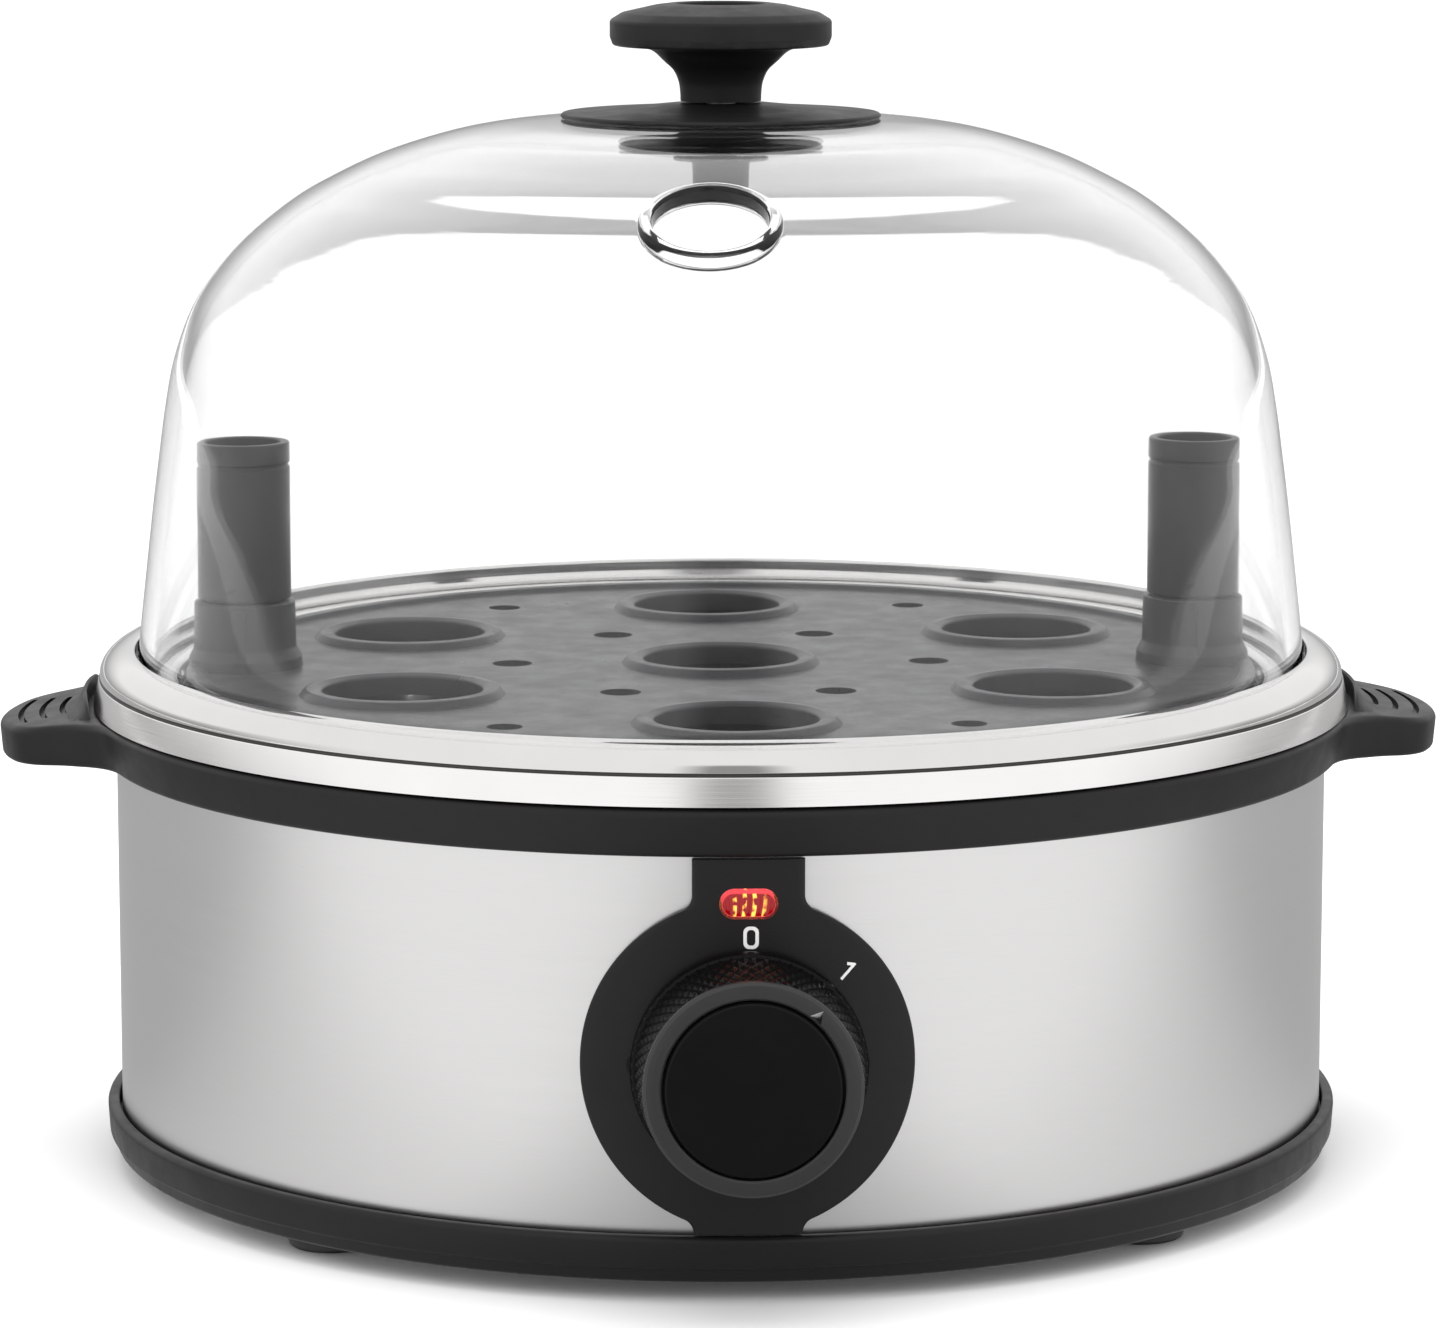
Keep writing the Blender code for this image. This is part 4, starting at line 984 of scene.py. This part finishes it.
def right_edge():
    """The plate's right edge from bottom to top as points and outward ways, about the dial's axis."""
    def root(half):
        across = half + FASCIA_FILLET
        away = math.sqrt((DISC_RADIUS + FASCIA_FILLET) ** 2 - across ** 2)
        return across, away, math.degrees(math.atan2(away, across))

    down_x, down_y, down_angle = root(STEM_DOWN)
    up_x, up_y, up_angle = root(STEM_UP)
    edge = [(Vector((STEM_DOWN, FASCIA_FOOT)), Vector((1, 0)))]
    for centre, radius, start, end, steps, side in (
        ((down_x, -down_y), FASCIA_FILLET, 0, -down_angle, 12, -1),
        ((0, 0), DISC_RADIUS, -down_angle, up_angle, 72, 1),
        ((up_x, up_y), FASCIA_FILLET, up_angle, 0, 12, -1),
    ):
        for k in range(steps + (side < 0)):
            way = around(1, start + (end - start) * k / steps).to_2d()
            edge.append((Vector(centre) + way * radius * side, way))
    edge.append((Vector((STEM_UP, FASCIA_TOP)), Vector((1, 0))))
    return edge


def bent(across, up, radius):
    """A flat point laid on the body, at a radius from its axis."""
    angle = across / FASCIA_FACE
    return Vector((radius * math.sin(angle), -radius * math.cos(angle), up + DIAL_Z))


def fascia_row(point, way):
    soft, columns = 0.45, 24
    right = [(point.x - 0.2 * way.x, FASCIA_BACK), (point.x, FASCIA_BACK + 0.2)]
    for k in range(5):
        a = math.radians(22.5 * k)
        right.append((point.x - way.x * soft * (1 - math.cos(a)),
                      FASCIA_FACE - soft + soft * math.sin(a)))
    edge = right[-1][0]
    face = [(edge * (1 - 2 * k / columns), FASCIA_FACE) for k in range(1, columns)]
    left = [(-across, radius) for across, radius in reversed(right)]
    return [bent(across, point.y, radius) for across, radius in right + face + left]


rows = [fascia_row(point, way) for point, way in right_edge()]
fascia = woven(rows, ring=False)
lens_room = moved(slab(stadium(LENS_WIDTH + 0.5, LENS_HEIGHT + 0.5), 70, 85), (0, 0, LENS_Z),
                  FACING_FRONT)
shaft_room = moved(disc(4.4, 70, 85), (0, 0, DIAL_Z), FACING_FRONT)
pegs = [moved(disc(1.3, 75.9, 78.6, 24), (side * 13, 0, DIAL_Z), FACING_FRONT) for side in (-1, 1)]
fascia = cut(joined(fascia, gathered(pegs)), lens_room, shaft_room)
finish_piece("fascia_plate", fascia, SATIN_BLACK, "base", ("fascia",), crease=40)

# %% [markdown]
# Two marks are printed on the fascia, a ring for off and a stroke for on. Pad printing leaves a
# layer of ink about as thick as a hair, so each mark is a very thin solid bent with the plate.


# %% Printed marks
def printed(name, outer, inner=None):
    """A thin mark on the fascia: an outline, or a ring between two outlines with as many points."""
    low, high = FASCIA_FACE - 0.03, FASCIA_FACE + 0.05
    if inner:
        rows = [[bent(x, y, low), bent(x, y, high), bent(u, v, high), bent(u, v, low)]
                for (x, y), (u, v) in zip(outer, inner)]
        solid = woven(rows)
    else:
        solid = woven([[bent(x, y, level) for x, y in outer] for level in (low, high)], ring=False)
    finish_piece(name, solid, PRINT_WHITE, "base")


zero_x, zero_y = 0.27, 15.3
zero = [(zero_x + x, zero_y + y) for x, y in softened(
    [(0.9, 1.33, 0.7), (-0.9, 1.33, 0.7), (-0.9, -1.33, 0.7), (0.9, -1.33, 0.7)], 15)]
ink = 0.4
zero_inside = [(zero_x + (x - zero_x) * (1 - ink / 0.9), zero_y + (y - zero_y) * (1 - ink / 1.33))
               for x, y in zero]
printed("mark_off", zero, zero_inside)
one = [(-0.16, -1.25), (0.16, -1.25), (0.16, 1.25), (-0.05, 1.25), (-0.82, 0.74), (-0.62, 0.46),
       (-0.16, 0.74)]
lean = Matrix.Rotation(math.radians(-42), 2)
middle = Vector((11.7, 11.05))
printed("mark_on", [tuple(lean @ Vector(point) + middle) for point in one])

# %% [markdown]
# ## The indicator lens
# A small red window with round ends stands a little proud of the fascia. Its face is crowned,
# which is what gives it a bright rim, and behind it sits the neon lamp in its holder. The crown is
# woven from ever smaller copies of the outline.

# %% Lens
lens_rows = []
for inset, out in ((0.12, -4.6), (0.12, 0.35), (0.22, 0.60), (0.42, 0.74), (0.75, 0.80), (1.15, 0.83)):
    outline = stadium(LENS_WIDTH - 2 * inset, LENS_HEIGHT - 2 * inset)
    lens_rows.append([(x, y, out) for x, y in outline])
lens = woven(lens_rows, ring=False)
lens_place = Vector((0, AXIS.y - FASCIA_FACE * MM, LENS_Z * MM))
finish_piece("lit_lens", lens, LIT_RED, "base", ("indicator_lens",), lens_place,
             FACING_FRONT)

# %% [markdown]
# ## The dial
# The dial is a cup with a knurled wall, a flat satin ring round its front and a loose glossy cap
# let into the middle. The knurl is a pattern of little pyramids that two sets of crossing spirals
# leave. Two zigzag waves wound opposite ways give their height, and the lower of the two at each
# place gives the pyramid, so the wall is woven with a radius that changes from point to point. The
# knurled wall wears a darker, less glossy copy of the ring's plastic, which is painted shade. A small
# notch in the ring points at a mark, and one of its slopes carries a pale grey painted highlight.

# %% Knurled dial
DIAL_BACK, DIAL_FACE = 80.4, (AXIS.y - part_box("dial_cap")[0].y) / MM
KNURLS, KNURL_PITCH, KNURL_DEPTH = 60, 1.5, 0.36
KNURL_FROM, KNURL_TO = DIAL_BACK + 1.6, DIAL_FACE - 1.3
WALL_FOOT, RING_OUTER, RING_INNER = 13.55, 12.65, 10.62      # radii of the wall's foot and front ring
POINTER_TURN = 40.5                                          # how far the pointer is from upright


def knurl(angle, depth):
    """From 0 in a groove to 1 on a pyramid's point."""
    waves = [abs(((angle * KNURLS / (2 * math.pi) + way * depth / KNURL_PITCH) % 1) * 2 - 1)
             for way in (0.5, -0.5)]
    return min(waves)


def dial_row(angle):
    wall = [(13.9, DIAL_BACK), (13.95, DIAL_BACK + 0.9), (13.75, KNURL_FROM - 0.2)]
    steps = 30
    for k in range(steps + 1):
        share = k / steps
        depth = KNURL_FROM + (KNURL_TO - KNURL_FROM) * share
        radius = WALL_FOOT + (RING_OUTER - WALL_FOOT) * share
        wall.append((radius + KNURL_DEPTH * (knurl(angle, depth) - 0.5), depth))
    front = [(RING_OUTER + 0.12, KNURL_TO + 0.15), (RING_OUTER + 0.05, DIAL_FACE - 0.75),
             (RING_OUTER - 0.3, DIAL_FACE - 0.42), (RING_OUTER - 0.8, DIAL_FACE - 0.35),
             (11.6, DIAL_FACE - 0.33), (RING_INNER + 0.25, DIAL_FACE - 0.3),
             (RING_INNER, DIAL_FACE - 0.5), (RING_INNER, DIAL_FACE - 2.0), (3.6, DIAL_FACE - 2.0),
             (3.6, DIAL_FACE - 3.4),
             (3.1, DIAL_FACE - 3.4), (3.1, DIAL_BACK + 1.0), (5.4, DIAL_BACK + 1.0),
             (5.4, DIAL_FACE - 4.5), (11.0, DIAL_FACE - 4.5), (12.2, DIAL_BACK)]
    return [(r * math.cos(angle), r * math.sin(angle), z) for r, z in wall + front]


dial = woven([dial_row(2 * math.pi * k / 720) for k in range(720)])
pointer = [(-0.85, 10.85), (0.85, 10.85), (0, 12.5)]
notch_floor = [(0.3 + x * 0.2, 11.2 + (y - 11.0) * 0.2, DIAL_FACE - 0.95) for x, y in pointer]
notch = woven([[(x, y, DIAL_FACE - 0.25) for x, y in pointer], notch_floor], ring=False)
dial = cut(dial, moved(notch, turn=Matrix.Rotation(math.radians(-POINTER_TURN), 3, "Z")))
dial_place = AXIS + Vector((0, 0, DIAL_Z * MM))
dial_piece = finish_piece("knurled_dial", dial, DIAL_BLACK, "dial", ("dial_knob",),
                          dial_place, FACING_FRONT, crease=28)
dial_piece.data.materials.append(KNURL_PAINTED_SHADE)
dial_piece.data.materials.append(POINTER_PAINTED_HIGHLIGHT)
pointer_way = around(1.0, 90 - POINTER_TURN)
painted = 0
for face in dial_piece.data.polygons:
    off_ring, depth = face.center.xy.length / MM, face.center.z / MM
    # knurled wall faces get the darker copy, which is painted shade
    if off_ring > RING_OUTER - 0.06 and depth < KNURL_TO + 0.3:
        face.material_index = 1
    # one slope of the notch gets the pale grey, a painted highlight
    in_notch = 10.9 < off_ring < 12.5 and face.center.xy.normalized().dot(pointer_way.xy) > 0.99
    slopes = face.normal.cross(pointer_way).z > 0.3
    if in_notch and DIAL_FACE - 1.1 < depth < DIAL_FACE - 0.36 and slopes:
        face.material_index = 2
        painted += 1
print(painted, "faces of the pointer painted")

cap_radius = RING_INNER - 0.16
cap_section = softened([(0, DIAL_FACE - 0.1, 0), (cap_radius - 0.36, DIAL_FACE - 0.14, 0.3),
                        (cap_radius, DIAL_FACE - 0.6, 0.3), (cap_radius, DIAL_FACE - 1.7, 0.1),
                        (0, DIAL_FACE - 1.7, 0)])
finish_piece("dial_centre_cap", turned(cap_section, 192), SPUN_GLOSS, "dial",
             ("dial_cap",), dial_place, FACING_FRONT)

# %% [markdown]
# ## Where the cord goes in
# At the back a rubber bush lines the hole for the mains cord. Its lip is rounded, and two shallow
# rings in it let it give a little when the cord is pulled sideways.

# %% Cord bush
GLAND_BACK = (GLAND_HIGH.y - AXIS.y) / MM
gland_section = softened([
    (3.7, GLAND_BACK, 0.4), (7.1, GLAND_BACK, 0.8), (8.2, GLAND_BACK - 1.3, 0.7), (8.2, 78.5, 0.2),
    (5.6, 78.5, 0.2), (5.6, 70.5, 0.3), (3.7, 70.5, 0.3), (3.7, 75.0, 0), (4.1, 75.5, 0.2),
    (4.1, 76.5, 0.2), (3.7, 77.0, 0), (3.7, 78.5, 0), (4.1, 79.0, 0.2), (4.1, 80.0, 0.2), (3.7, 80.5, 0),
])
gland_place = AXIS + Vector((0, 0, GLAND_Z * MM))
finish_piece("cord_bush", turned(gland_section, SMALL_ROUND), FOOT_RUBBER, "base",
             ("cord_gland",), gland_place, FACING_BACK)

# %% [markdown]
# ## The dome
# The lid is moulded in clear plastic: nearly upright at its foot, then curling over in one ever
# tighter and then flatter sweep to a flat top. Only the outer line is drawn, through eighteen
# points; the inner face runs beside it at the wall's thickness, because clear plastic only looks
# like itself when it really has two faces. The steam vent is a thick rim round a hole, set into
# the slope at the front.

# %% Dome
DOME_WALL = 2.0
FOOT_LINE = [(DOME_RADIUS, DOME_FOOT + 0.5), (74.85, 68.0)]
dome_line = flowing(FOOT_LINE + [
    (73.9, 76.4), (72.85, 85.3), (72.0, 91.7), (71.1, 98.0), (69.9, 104.0), (67.6, 110.2), (64.4, 115.0),
    (60.3, 119.4), (54.6, 123.9), (49.5, 126.8), (43.4, 129.6), (35.5, 132.1), (28.9, 133.4),
    (22.0, DOME_TOP - 0.1), (16.0, DOME_TOP), (2.6, DOME_TOP)], 5)
inner_line = beside(dome_line, DOME_WALL)[::-1]
foot_round = [(DOME_RADIUS - DOME_WALL + 0.35, DOME_FOOT), (DOME_RADIUS - 0.35, DOME_FOOT)]
inner_line[0] = (2.6, DOME_TOP - DOME_WALL)
dome = turned(dome_line + inner_line + foot_round, 360)

VENT_ANGLE, VENT_RING, VENT_HEIGHT, VENT_SLOPE = 266.3, 52.5, 124.7, 27.0
rim_section = softened([(7.0, -1.5, 0.4), (8.9, -1.9, 0.3), (8.9, -0.4, 0.3), (8.4, 1.0, 0.6),
                        (7.0, 1.0, 0.5)], 18)
tilt = (Matrix.Rotation(math.radians(VENT_ANGLE), 3, "Z")
        @ Matrix.Rotation(math.radians(VENT_SLOPE), 3, "Y"))
vent_spot = around(VENT_RING, VENT_ANGLE, VENT_HEIGHT)
vent_rim = moved(turned(rim_section, SMALL_ROUND), vent_spot, tilt)
vent_hole = moved(disc(7.3, -9, 9), vent_spot, tilt)
dome = joined(cut(dome, vent_hole), vent_rim)
finish_piece("clear_dome", dome, CLEAR, "lid", ("lid_dome",), crease=40)

# %% [markdown]
# ## Knob, plate and what holds them
# The knob is a waisted spool with a wide flat rim, like a mushroom on a stalk; its stalk opens in
# one curve into the rim's underside. It stands on a thin domed plate that hides the dome's centre
# hole, and a screw through both pulls up a washer and a round nut inside.

# %% Lid fittings
_, KNOB_FOOT, KNOB_TOP = reach("lid_knob")
_, PLATE_FOOT, PLATE_TOP = reach("lid_plate")
knob_radius, knob_under = 14.15, KNOB_TOP - 5.55
waist = flowing([
    (5.15, KNOB_FOOT), (5.2, KNOB_FOOT + 1.2), (5.4, KNOB_FOOT + 2.5), (6.05, KNOB_FOOT + 3.9),
    (7.2, KNOB_FOOT + 5.0), (8.8, knob_under - 0.45), (10.8, knob_under), (12.3, knob_under + 0.12),
])
rim = softened([
    (12.4, knob_under + 0.13, 0), (13.75, knob_under + 0.2, 0.5), (knob_radius, knob_under + 1.3, 0.5),
    (knob_radius, KNOB_TOP - 2.15, 0.6), (12.6, KNOB_TOP - 1.2, 1.5), (8.4, KNOB_TOP - 0.25, 2.5),
    (6.4, KNOB_TOP, 0.8), (5.6, KNOB_TOP - 0.1, 0.35), (5.5, KNOB_TOP - 8.1, 0.3),
    (2.5, KNOB_TOP - 8.1, 0), (2.5, KNOB_FOOT, 0),
], 10)
finish_piece("lid_knob_spool", turned(waist + rim, 192), KNOB_BLACK, "lid",
             ("lid_knob",))

PLATE_FOOT -= 0.22
plate_section = softened([
    (2.6, PLATE_FOOT, 0), (20.3, PLATE_FOOT, 0.1), (20.5, PLATE_FOOT + 0.3, 0.2),
    (20.2, PLATE_FOOT + 0.62, 0.3), (12.0, PLATE_FOOT + 1.2, 6.0), (6.2, PLATE_TOP, 0.3),
    (2.6, PLATE_TOP, 0),
])
finish_piece("knob_plate", turned(plate_section, 192), KNOB_BLACK, "lid",
             ("lid_plate",))

washer_radius, washer_foot, washer_top = reach("lid_washer")
washer_section = softened([
    (2.6, washer_top, 0), (washer_radius, washer_top, 0.25), (washer_radius, washer_foot, 0.4),
    (10.0, washer_foot, 0.1), (9.6, washer_foot + 0.25, 0.1), (8.6, washer_foot + 0.25, 0.1),
    (8.2, washer_foot, 0.1), (2.6, washer_foot, 0),
])
finish_piece("inner_washer", turned(washer_section, SMALL_ROUND), KNOB_BLACK, "lid",
             ("lid_washer",))


# %% [markdown]
# The nut inside is turned by hand, so its wall carries twelve finger flutes. The screw's head lies
# deep in the knob's well, with a cross recess for the driver.

# %% Nut and screw
nut_radius, nut_foot, nut_top = reach("lid_nut")


def nut_row(angle):
    flute = nut_radius - 0.12 - 0.35 * max(0.0, math.cos(12 * angle)) ** 0.7
    wall = [(0, nut_foot + 1.0), (2.3, nut_foot + 1.0), (2.3, nut_top), (flute - 0.3, nut_top),
            (flute, nut_top - 0.3), (flute, nut_top - 1.1), (flute - 0.35, nut_top - 1.4),
            (3.7, nut_top - 1.7), (3.5, nut_foot + 0.5), (2.9, nut_foot), (0, nut_foot)]
    return [(r * math.cos(angle), r * math.sin(angle), z) for r, z in wall]


finger_nut = woven([nut_row(2 * math.pi * k / 144) for k in range(144)], tube=False)
finish_piece("finger_nut", finger_nut, KNOB_BLACK, "lid", ("lid_nut",))
screw_radius, screw_foot, screw_top = reach("lid_screw")
screw_section = softened([
    (0, screw_top, 0), (2.6, screw_top, 1.5), (screw_radius, screw_top - 1.1, 0.5),
    (screw_radius, screw_top - 2.1, 0.1), (1.9, screw_top - 2.1, 0.1), (1.9, screw_foot + 0.4, 0.2),
    (1.5, screw_foot, 0), (0, screw_foot, 0),
])
lid_screw = cut(turned(screw_section, 72), *cross_recess(2.0, 1.5, screw_top))
finish_piece("lid_screw_cross", lid_screw, ZINC, "lid", ("lid_screw",))

# %% [markdown]
# ## The egg tray
# The eggs stand in seven holes of a dark grey disc that hangs on the dish's inner ledge. Each hole
# has a raised, rounded lip that holds the egg's lower end, and ten small holes between them let
# the steam up. The disc is spun, the lips are joined to it and the holes cut through both. The lip
# is a section spun round the seat's own middle.

# %% Tray disc and seats
DECK_TOP, DECK_UNDER = TRAY_FOOT + 2.5, TRAY_FOOT + 0.7
SEAT_RING, SEAT_RADIUS = 47.0, 10.0
tray_section = softened([
    (0, DECK_TOP, 0), (TRAY_RADIUS - 2.6, DECK_TOP, 0.5), (TRAY_RADIUS - 2.1, DECK_TOP + 0.6, 0.25),
    (TRAY_RADIUS - 0.3, DECK_TOP + 0.6, 0.3), (TRAY_RADIUS, DECK_TOP + 0.1, 0.3),
    (TRAY_RADIUS, TRAY_FOOT, 0.4), (TRAY_RADIUS - 2.0, TRAY_FOOT, 0.4),
    (TRAY_RADIUS - 2.0, DECK_UNDER, 0.4), (0, DECK_UNDER, 0),
])
lip_section = softened([
    (SEAT_RADIUS, DECK_UNDER + 0.3, 0), (SEAT_RADIUS, DECK_TOP + 0.55, 0.35),
    (SEAT_RADIUS + 1.0, DECK_TOP + 0.95, 0.5), (SEAT_RADIUS + 2.1, DECK_TOP + 0.85, 0.5),
    (SEAT_RADIUS + 3.1, DECK_TOP - 0.35, 0.6), (SEAT_RADIUS + 2.0, DECK_UNDER + 0.3, 0),
])
seats = [Vector((0, 0, 0))] + [around(SEAT_RING, 30 + 60 * i) for i in range(6)]
lips = [moved(turned(lip_section, 72), seat) for seat in seats]
seat_holes = [moved(disc(SEAT_RADIUS + 0.02, 55, 70, 72), seat) for seat in seats]
steam_holes = [moved(disc(2.6, 55, 70, 36), around(27, 60 * i)) for i in range(6)]
rim_holes = [moved(disc(2.2, 55, 70, 36), around(56, angle)) for angle in (60, 120, 240, 300)]
tray = cut(turned(tray_section), gathered(seat_holes), gathered(steam_holes), gathered(rim_holes))
tray = joined(tray, gathered(lips))
print(len(seats), "seats,", len(steam_holes) + len(rim_holes), "steam holes")

# %% [markdown]
# On each side a socket stands up from the tray, with a wide foot and a thin upright rib in front.
# A hollow post plugs into it; the two posts are what the cook lifts the hot tray by.

# %% Sockets
POST_LOW, POST_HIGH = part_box("tray_post_right")
POST_X, POST_TOP = (POST_LOW.x + POST_HIGH.x) / 2 / MM, POST_HIGH.z / MM
SOCKET_TOP = 72.4
socket_section = softened([
    (5.2, DECK_TOP - 0.4, 0), (5.2, SOCKET_TOP, 0.25), (6.55, SOCKET_TOP, 0.3),
    (6.65, DECK_TOP + 2.6, 0.8), (7.35, DECK_TOP + 1.3, 0.5), (7.45, DECK_TOP - 0.4, 0),
])
sockets = []
for side in (-1, 1):
    spot = Vector((side * POST_X, 0, 0))
    sockets.append(moved(turned(socket_section, 72), spot))
    rib = slab([(-0.45, -6.9), (0.45, -6.9), (0.45, -6.0), (-0.45, -6.0)],
               DECK_TOP - 0.3, SOCKET_TOP - 0.6)
    sockets.append(moved(rib, spot))
tray = joined(tray, gathered(sockets[0::2]), gathered(sockets[1::2]))
finish_piece("tray_disc", tray, TRAY_GREY, "tray", ("egg_tray",), crease=30)

# %% [markdown]
# Each post is a tube with its floor a little way down inside. A thin rim at the top, with a fine
# groove under it, gives a finger and thumb something to pinch. One section is turned, and used on
# both sides.


# %% Posts
def make_post(side, name):
    post = softened([
        (0, SOCKET_TOP - 3, 0), (3.6, SOCKET_TOP - 3, 0.4), (4.6, SOCKET_TOP + 4, 0.5),
        (4.9, POST_TOP, 0.3), (6.05, POST_TOP, 0.3), (6.05, POST_TOP - 2.6, 0.1), (5.85, POST_TOP - 2.8, 0.1),
        (5.85, POST_TOP - 3.1, 0.1), (6.05, POST_TOP - 3.3, 0.1), (6.05, SOCKET_TOP + 0.3, 0.25),
        (4.85, SOCKET_TOP + 0.3, 0.1), (4.85, DECK_TOP + 0.3, 0.3), (0, DECK_TOP + 0.3, 0),
    ])
    solid = turned(post, 72)
    spot = AXIS + Vector((side * POST_X * MM, 0, 0))
    finish_piece(name + "_tube", solid, TRAY_GREY, "tray", (name,), spot)


make_post(-1, "tray_post_left")
make_post(1, "tray_post_right")

# %% [markdown]
# ## What stays inside
# The works between the dish and the pan are already the right shape: they are brackets, nuts,
# wires and blocks that nobody sees until the pan comes off. They keep their plain forms and get
# real finishes, each by what it is made of.

# %% Finishes for the works
INNER_FINISHES = {
    "plated_steel": ZINC,
    "aluminium": CAST_ALUMINIUM,
    "silicone": SEAL_SILICONE,
    "lamp_glass": NEON,
    "phenolic": PHENOLIC_BROWN,
    "nylon": NYLON_WHITE,
    "fibre_sleeve": SLEEVE,
    "lead_brown": LEAD_BROWN,
    "lead_blue": LEAD_BLUE,
    "lead_green": LEAD_GREEN,
}
dressed = 0
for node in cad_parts.values():
    for place in node.material_slots:
        slot_name = place.material.name.split(".")[0]
        if slot_name in INNER_FINISHES and not node.hide_render:
            place.material = INNER_FINISHES[slot_name]
            node.data.set_sharp_from_angle(angle=math.radians(35))
            dressed += 1
print(dressed, "inner pieces dressed")

# %% [markdown]
# ## A place to stand
# A pale floor that runs off into white, with light from all sides, is how such an appliance is
# shown. The floor is nearly white itself, and the room behind it is pure white to the camera, so
# that it ends in white and not in a grey horizon.


# %% Floor
def sheet(name, size, height, finish):
    """A square sheet that lies level, part of the studio and not of the cooker."""
    mesh = bpy.data.meshes.new(name)
    solid = bmesh.new()
    bmesh.ops.create_grid(solid, x_segments=1, y_segments=1, size=size)
    solid.to_mesh(mesh)
    solid.free()
    mesh.materials.append(finish)
    laid = bpy.data.objects.new(name, mesh)
    bpy.context.scene.collection.objects.link(laid)
    laid.location.z = height
    return laid


def pale_floor():
    finish, tree, shader = new_finish("pale_floor", (0.95, 0.95, 0.95), 0.6)
    tree.links.new(shade(tree, spots(tree, 300, 3), (0.94, 0.94, 0.94), (0.96, 0.96, 0.96)),
                   shader.inputs["Base Color"])
    shader.inputs["Specular IOR Level"].default_value = 0.2
    return finish


sheet("studio_floor", 6.0, 0.0, pale_floor())

# %% [markdown]
# Bright steel only looks like steel when it has something darker to reflect. In a studio that is
# done with cards and with the dark camera itself. Here a sheet just above the floor is seen only
# in reflections: it is bright in front, falls off to grey behind the cooker, and has a dark band
# towards the camera. That gives the wrap its pale middle and its grey sides without any grey in
# the floor itself.


# %% What the steel reflects
def reflected_sheet():
    finish, tree, shader = new_finish("reflected_sheet", (0, 0, 0), 1.0)
    shader.inputs["Specular IOR Level"].default_value = 0.0
    parts = add(tree, "SeparateXYZ", {"Vector": own_place(tree)})
    level = between(tree, parts.outputs["Y"], 1.0, 0.46, -0.13, 0.03)
    aside = add(tree, "Math", {0: parts.outputs["X"]}, operation="ABSOLUTE").outputs[0]
    from_band = add(tree, "Math", {0: parts.outputs["Y"], 1: 0.12, 2: aside}, operation="MULTIPLY_ADD")
    band = between(tree, from_band.outputs[0], 0.45, 1.0, 0.0, 0.05)
    tree.links.new(add(tree, "Math", {0: level, 1: band}, operation="MULTIPLY").outputs[0],
                   shader.inputs["Emission Strength"])
    shader.inputs["Emission Color"].default_value = (1, 1, 1, 1)
    return finish


card = sheet("reflected_card", 2.5, 0.4 * MM, reflected_sheet())
card.visible_camera = card.visible_diffuse = card.visible_transmission = card.visible_shadow = False

# %% [markdown]
# The room does the same above the floor. Reflections see it bright overhead and in front, with the
# dark band of the camera, and grey low down behind. Everything else sees an even pale room that is
# a little brighter overhead, which lights the plastics softly and leaves a soft shadow round the
# foot.

# %% Room
room = bpy.data.worlds.new("studio_room")
room.use_nodes = True
bpy.context.scene.world = room
tree = room.node_tree
ways = add(tree, "SeparateXYZ", {"Vector": add(tree, "TexCoord").outputs["Generated"]})
aside = add(tree, "Math", {0: ways.outputs["X"]}, operation="ABSOLUTE").outputs[0]
from_band = add(tree, "Math", {0: ways.outputs["Y"], 1: 0.3, 2: aside}, operation="MULTIPLY_ADD").outputs[0]


def blend(tree, amount, first, second):
    """One number or the other, by an amount from 0 to 1."""
    return add(tree, "Mix", {0: amount, 2: first, 3: second}, data_type="FLOAT").outputs[0]


low_down = between(tree, ways.outputs["Y"], 1.0, 0.42, -0.45, 0.3)
high_up = between(tree, ways.outputs["Z"], 0.0, 1.0, 0.03, 0.22)
band = between(tree, from_band, 0.35, 1.0, -0.22, -0.10)
upper = blend(tree, between(tree, ways.outputs["Z"], 0.0, 1.0, 0.45, 0.6), band, 1.0)
lower = blend(tree, high_up, low_down, 1.0)
mirrored = add(tree, "Math", {0: lower, 1: upper}, operation="MULTIPLY").outputs[0]
even = between(tree, ways.outputs["Z"], 1.10, 1.35, 0.0, 1.0)
rays = add(tree, "LightPath")
unseen = blend(tree, rays.outputs["Is Glossy Ray"], even, mirrored)
level = blend(tree, rays.outputs["Is Camera Ray"], unseen, 1.0)
tree.links.new(level, tree.nodes["Background"].inputs["Strength"])
tree.nodes["Background"].inputs["Color"].default_value = (1, 1, 1, 1)

# %% [markdown]
# Three soft boxes add what an even room can't: a little shape from each side, and light from above
# that lays a soft shadow under the rims. They are hidden from reflections, because the steel would
# show them as hard white panels.


# %% Soft boxes
def soft_box(name, place, aim, wide, high, power):
    lamp = bpy.data.lights.new(name, "AREA")
    lamp.shape = "RECTANGLE"
    lamp.size, lamp.size_y = wide, high
    lamp.energy = power
    box = bpy.data.objects.new(name, lamp)
    bpy.context.scene.collection.objects.link(box)
    box.location = place
    box.rotation_euler = (Vector(aim) - Vector(place)).to_track_quat("-Z", "Y").to_euler()
    box.visible_glossy = False
    box.visible_transmission = False


soft_box("left_box", (-0.75, -0.55, 0.45), (0, 0, 0.06), 0.35, 0.9, 1.2)
soft_box("right_box", (0.95, -0.35, 0.40), (0, 0, 0.06), 0.30, 0.9, 0.6)
soft_box("top_box", (0, -0.1, 1.1), (0, 0, 0), 0.9, 0.7, 4.5)
scene = bpy.context.scene
scene.view_settings.view_transform = "Standard"
scene.view_settings.look = "None"
print("floor, card, room and three soft boxes")
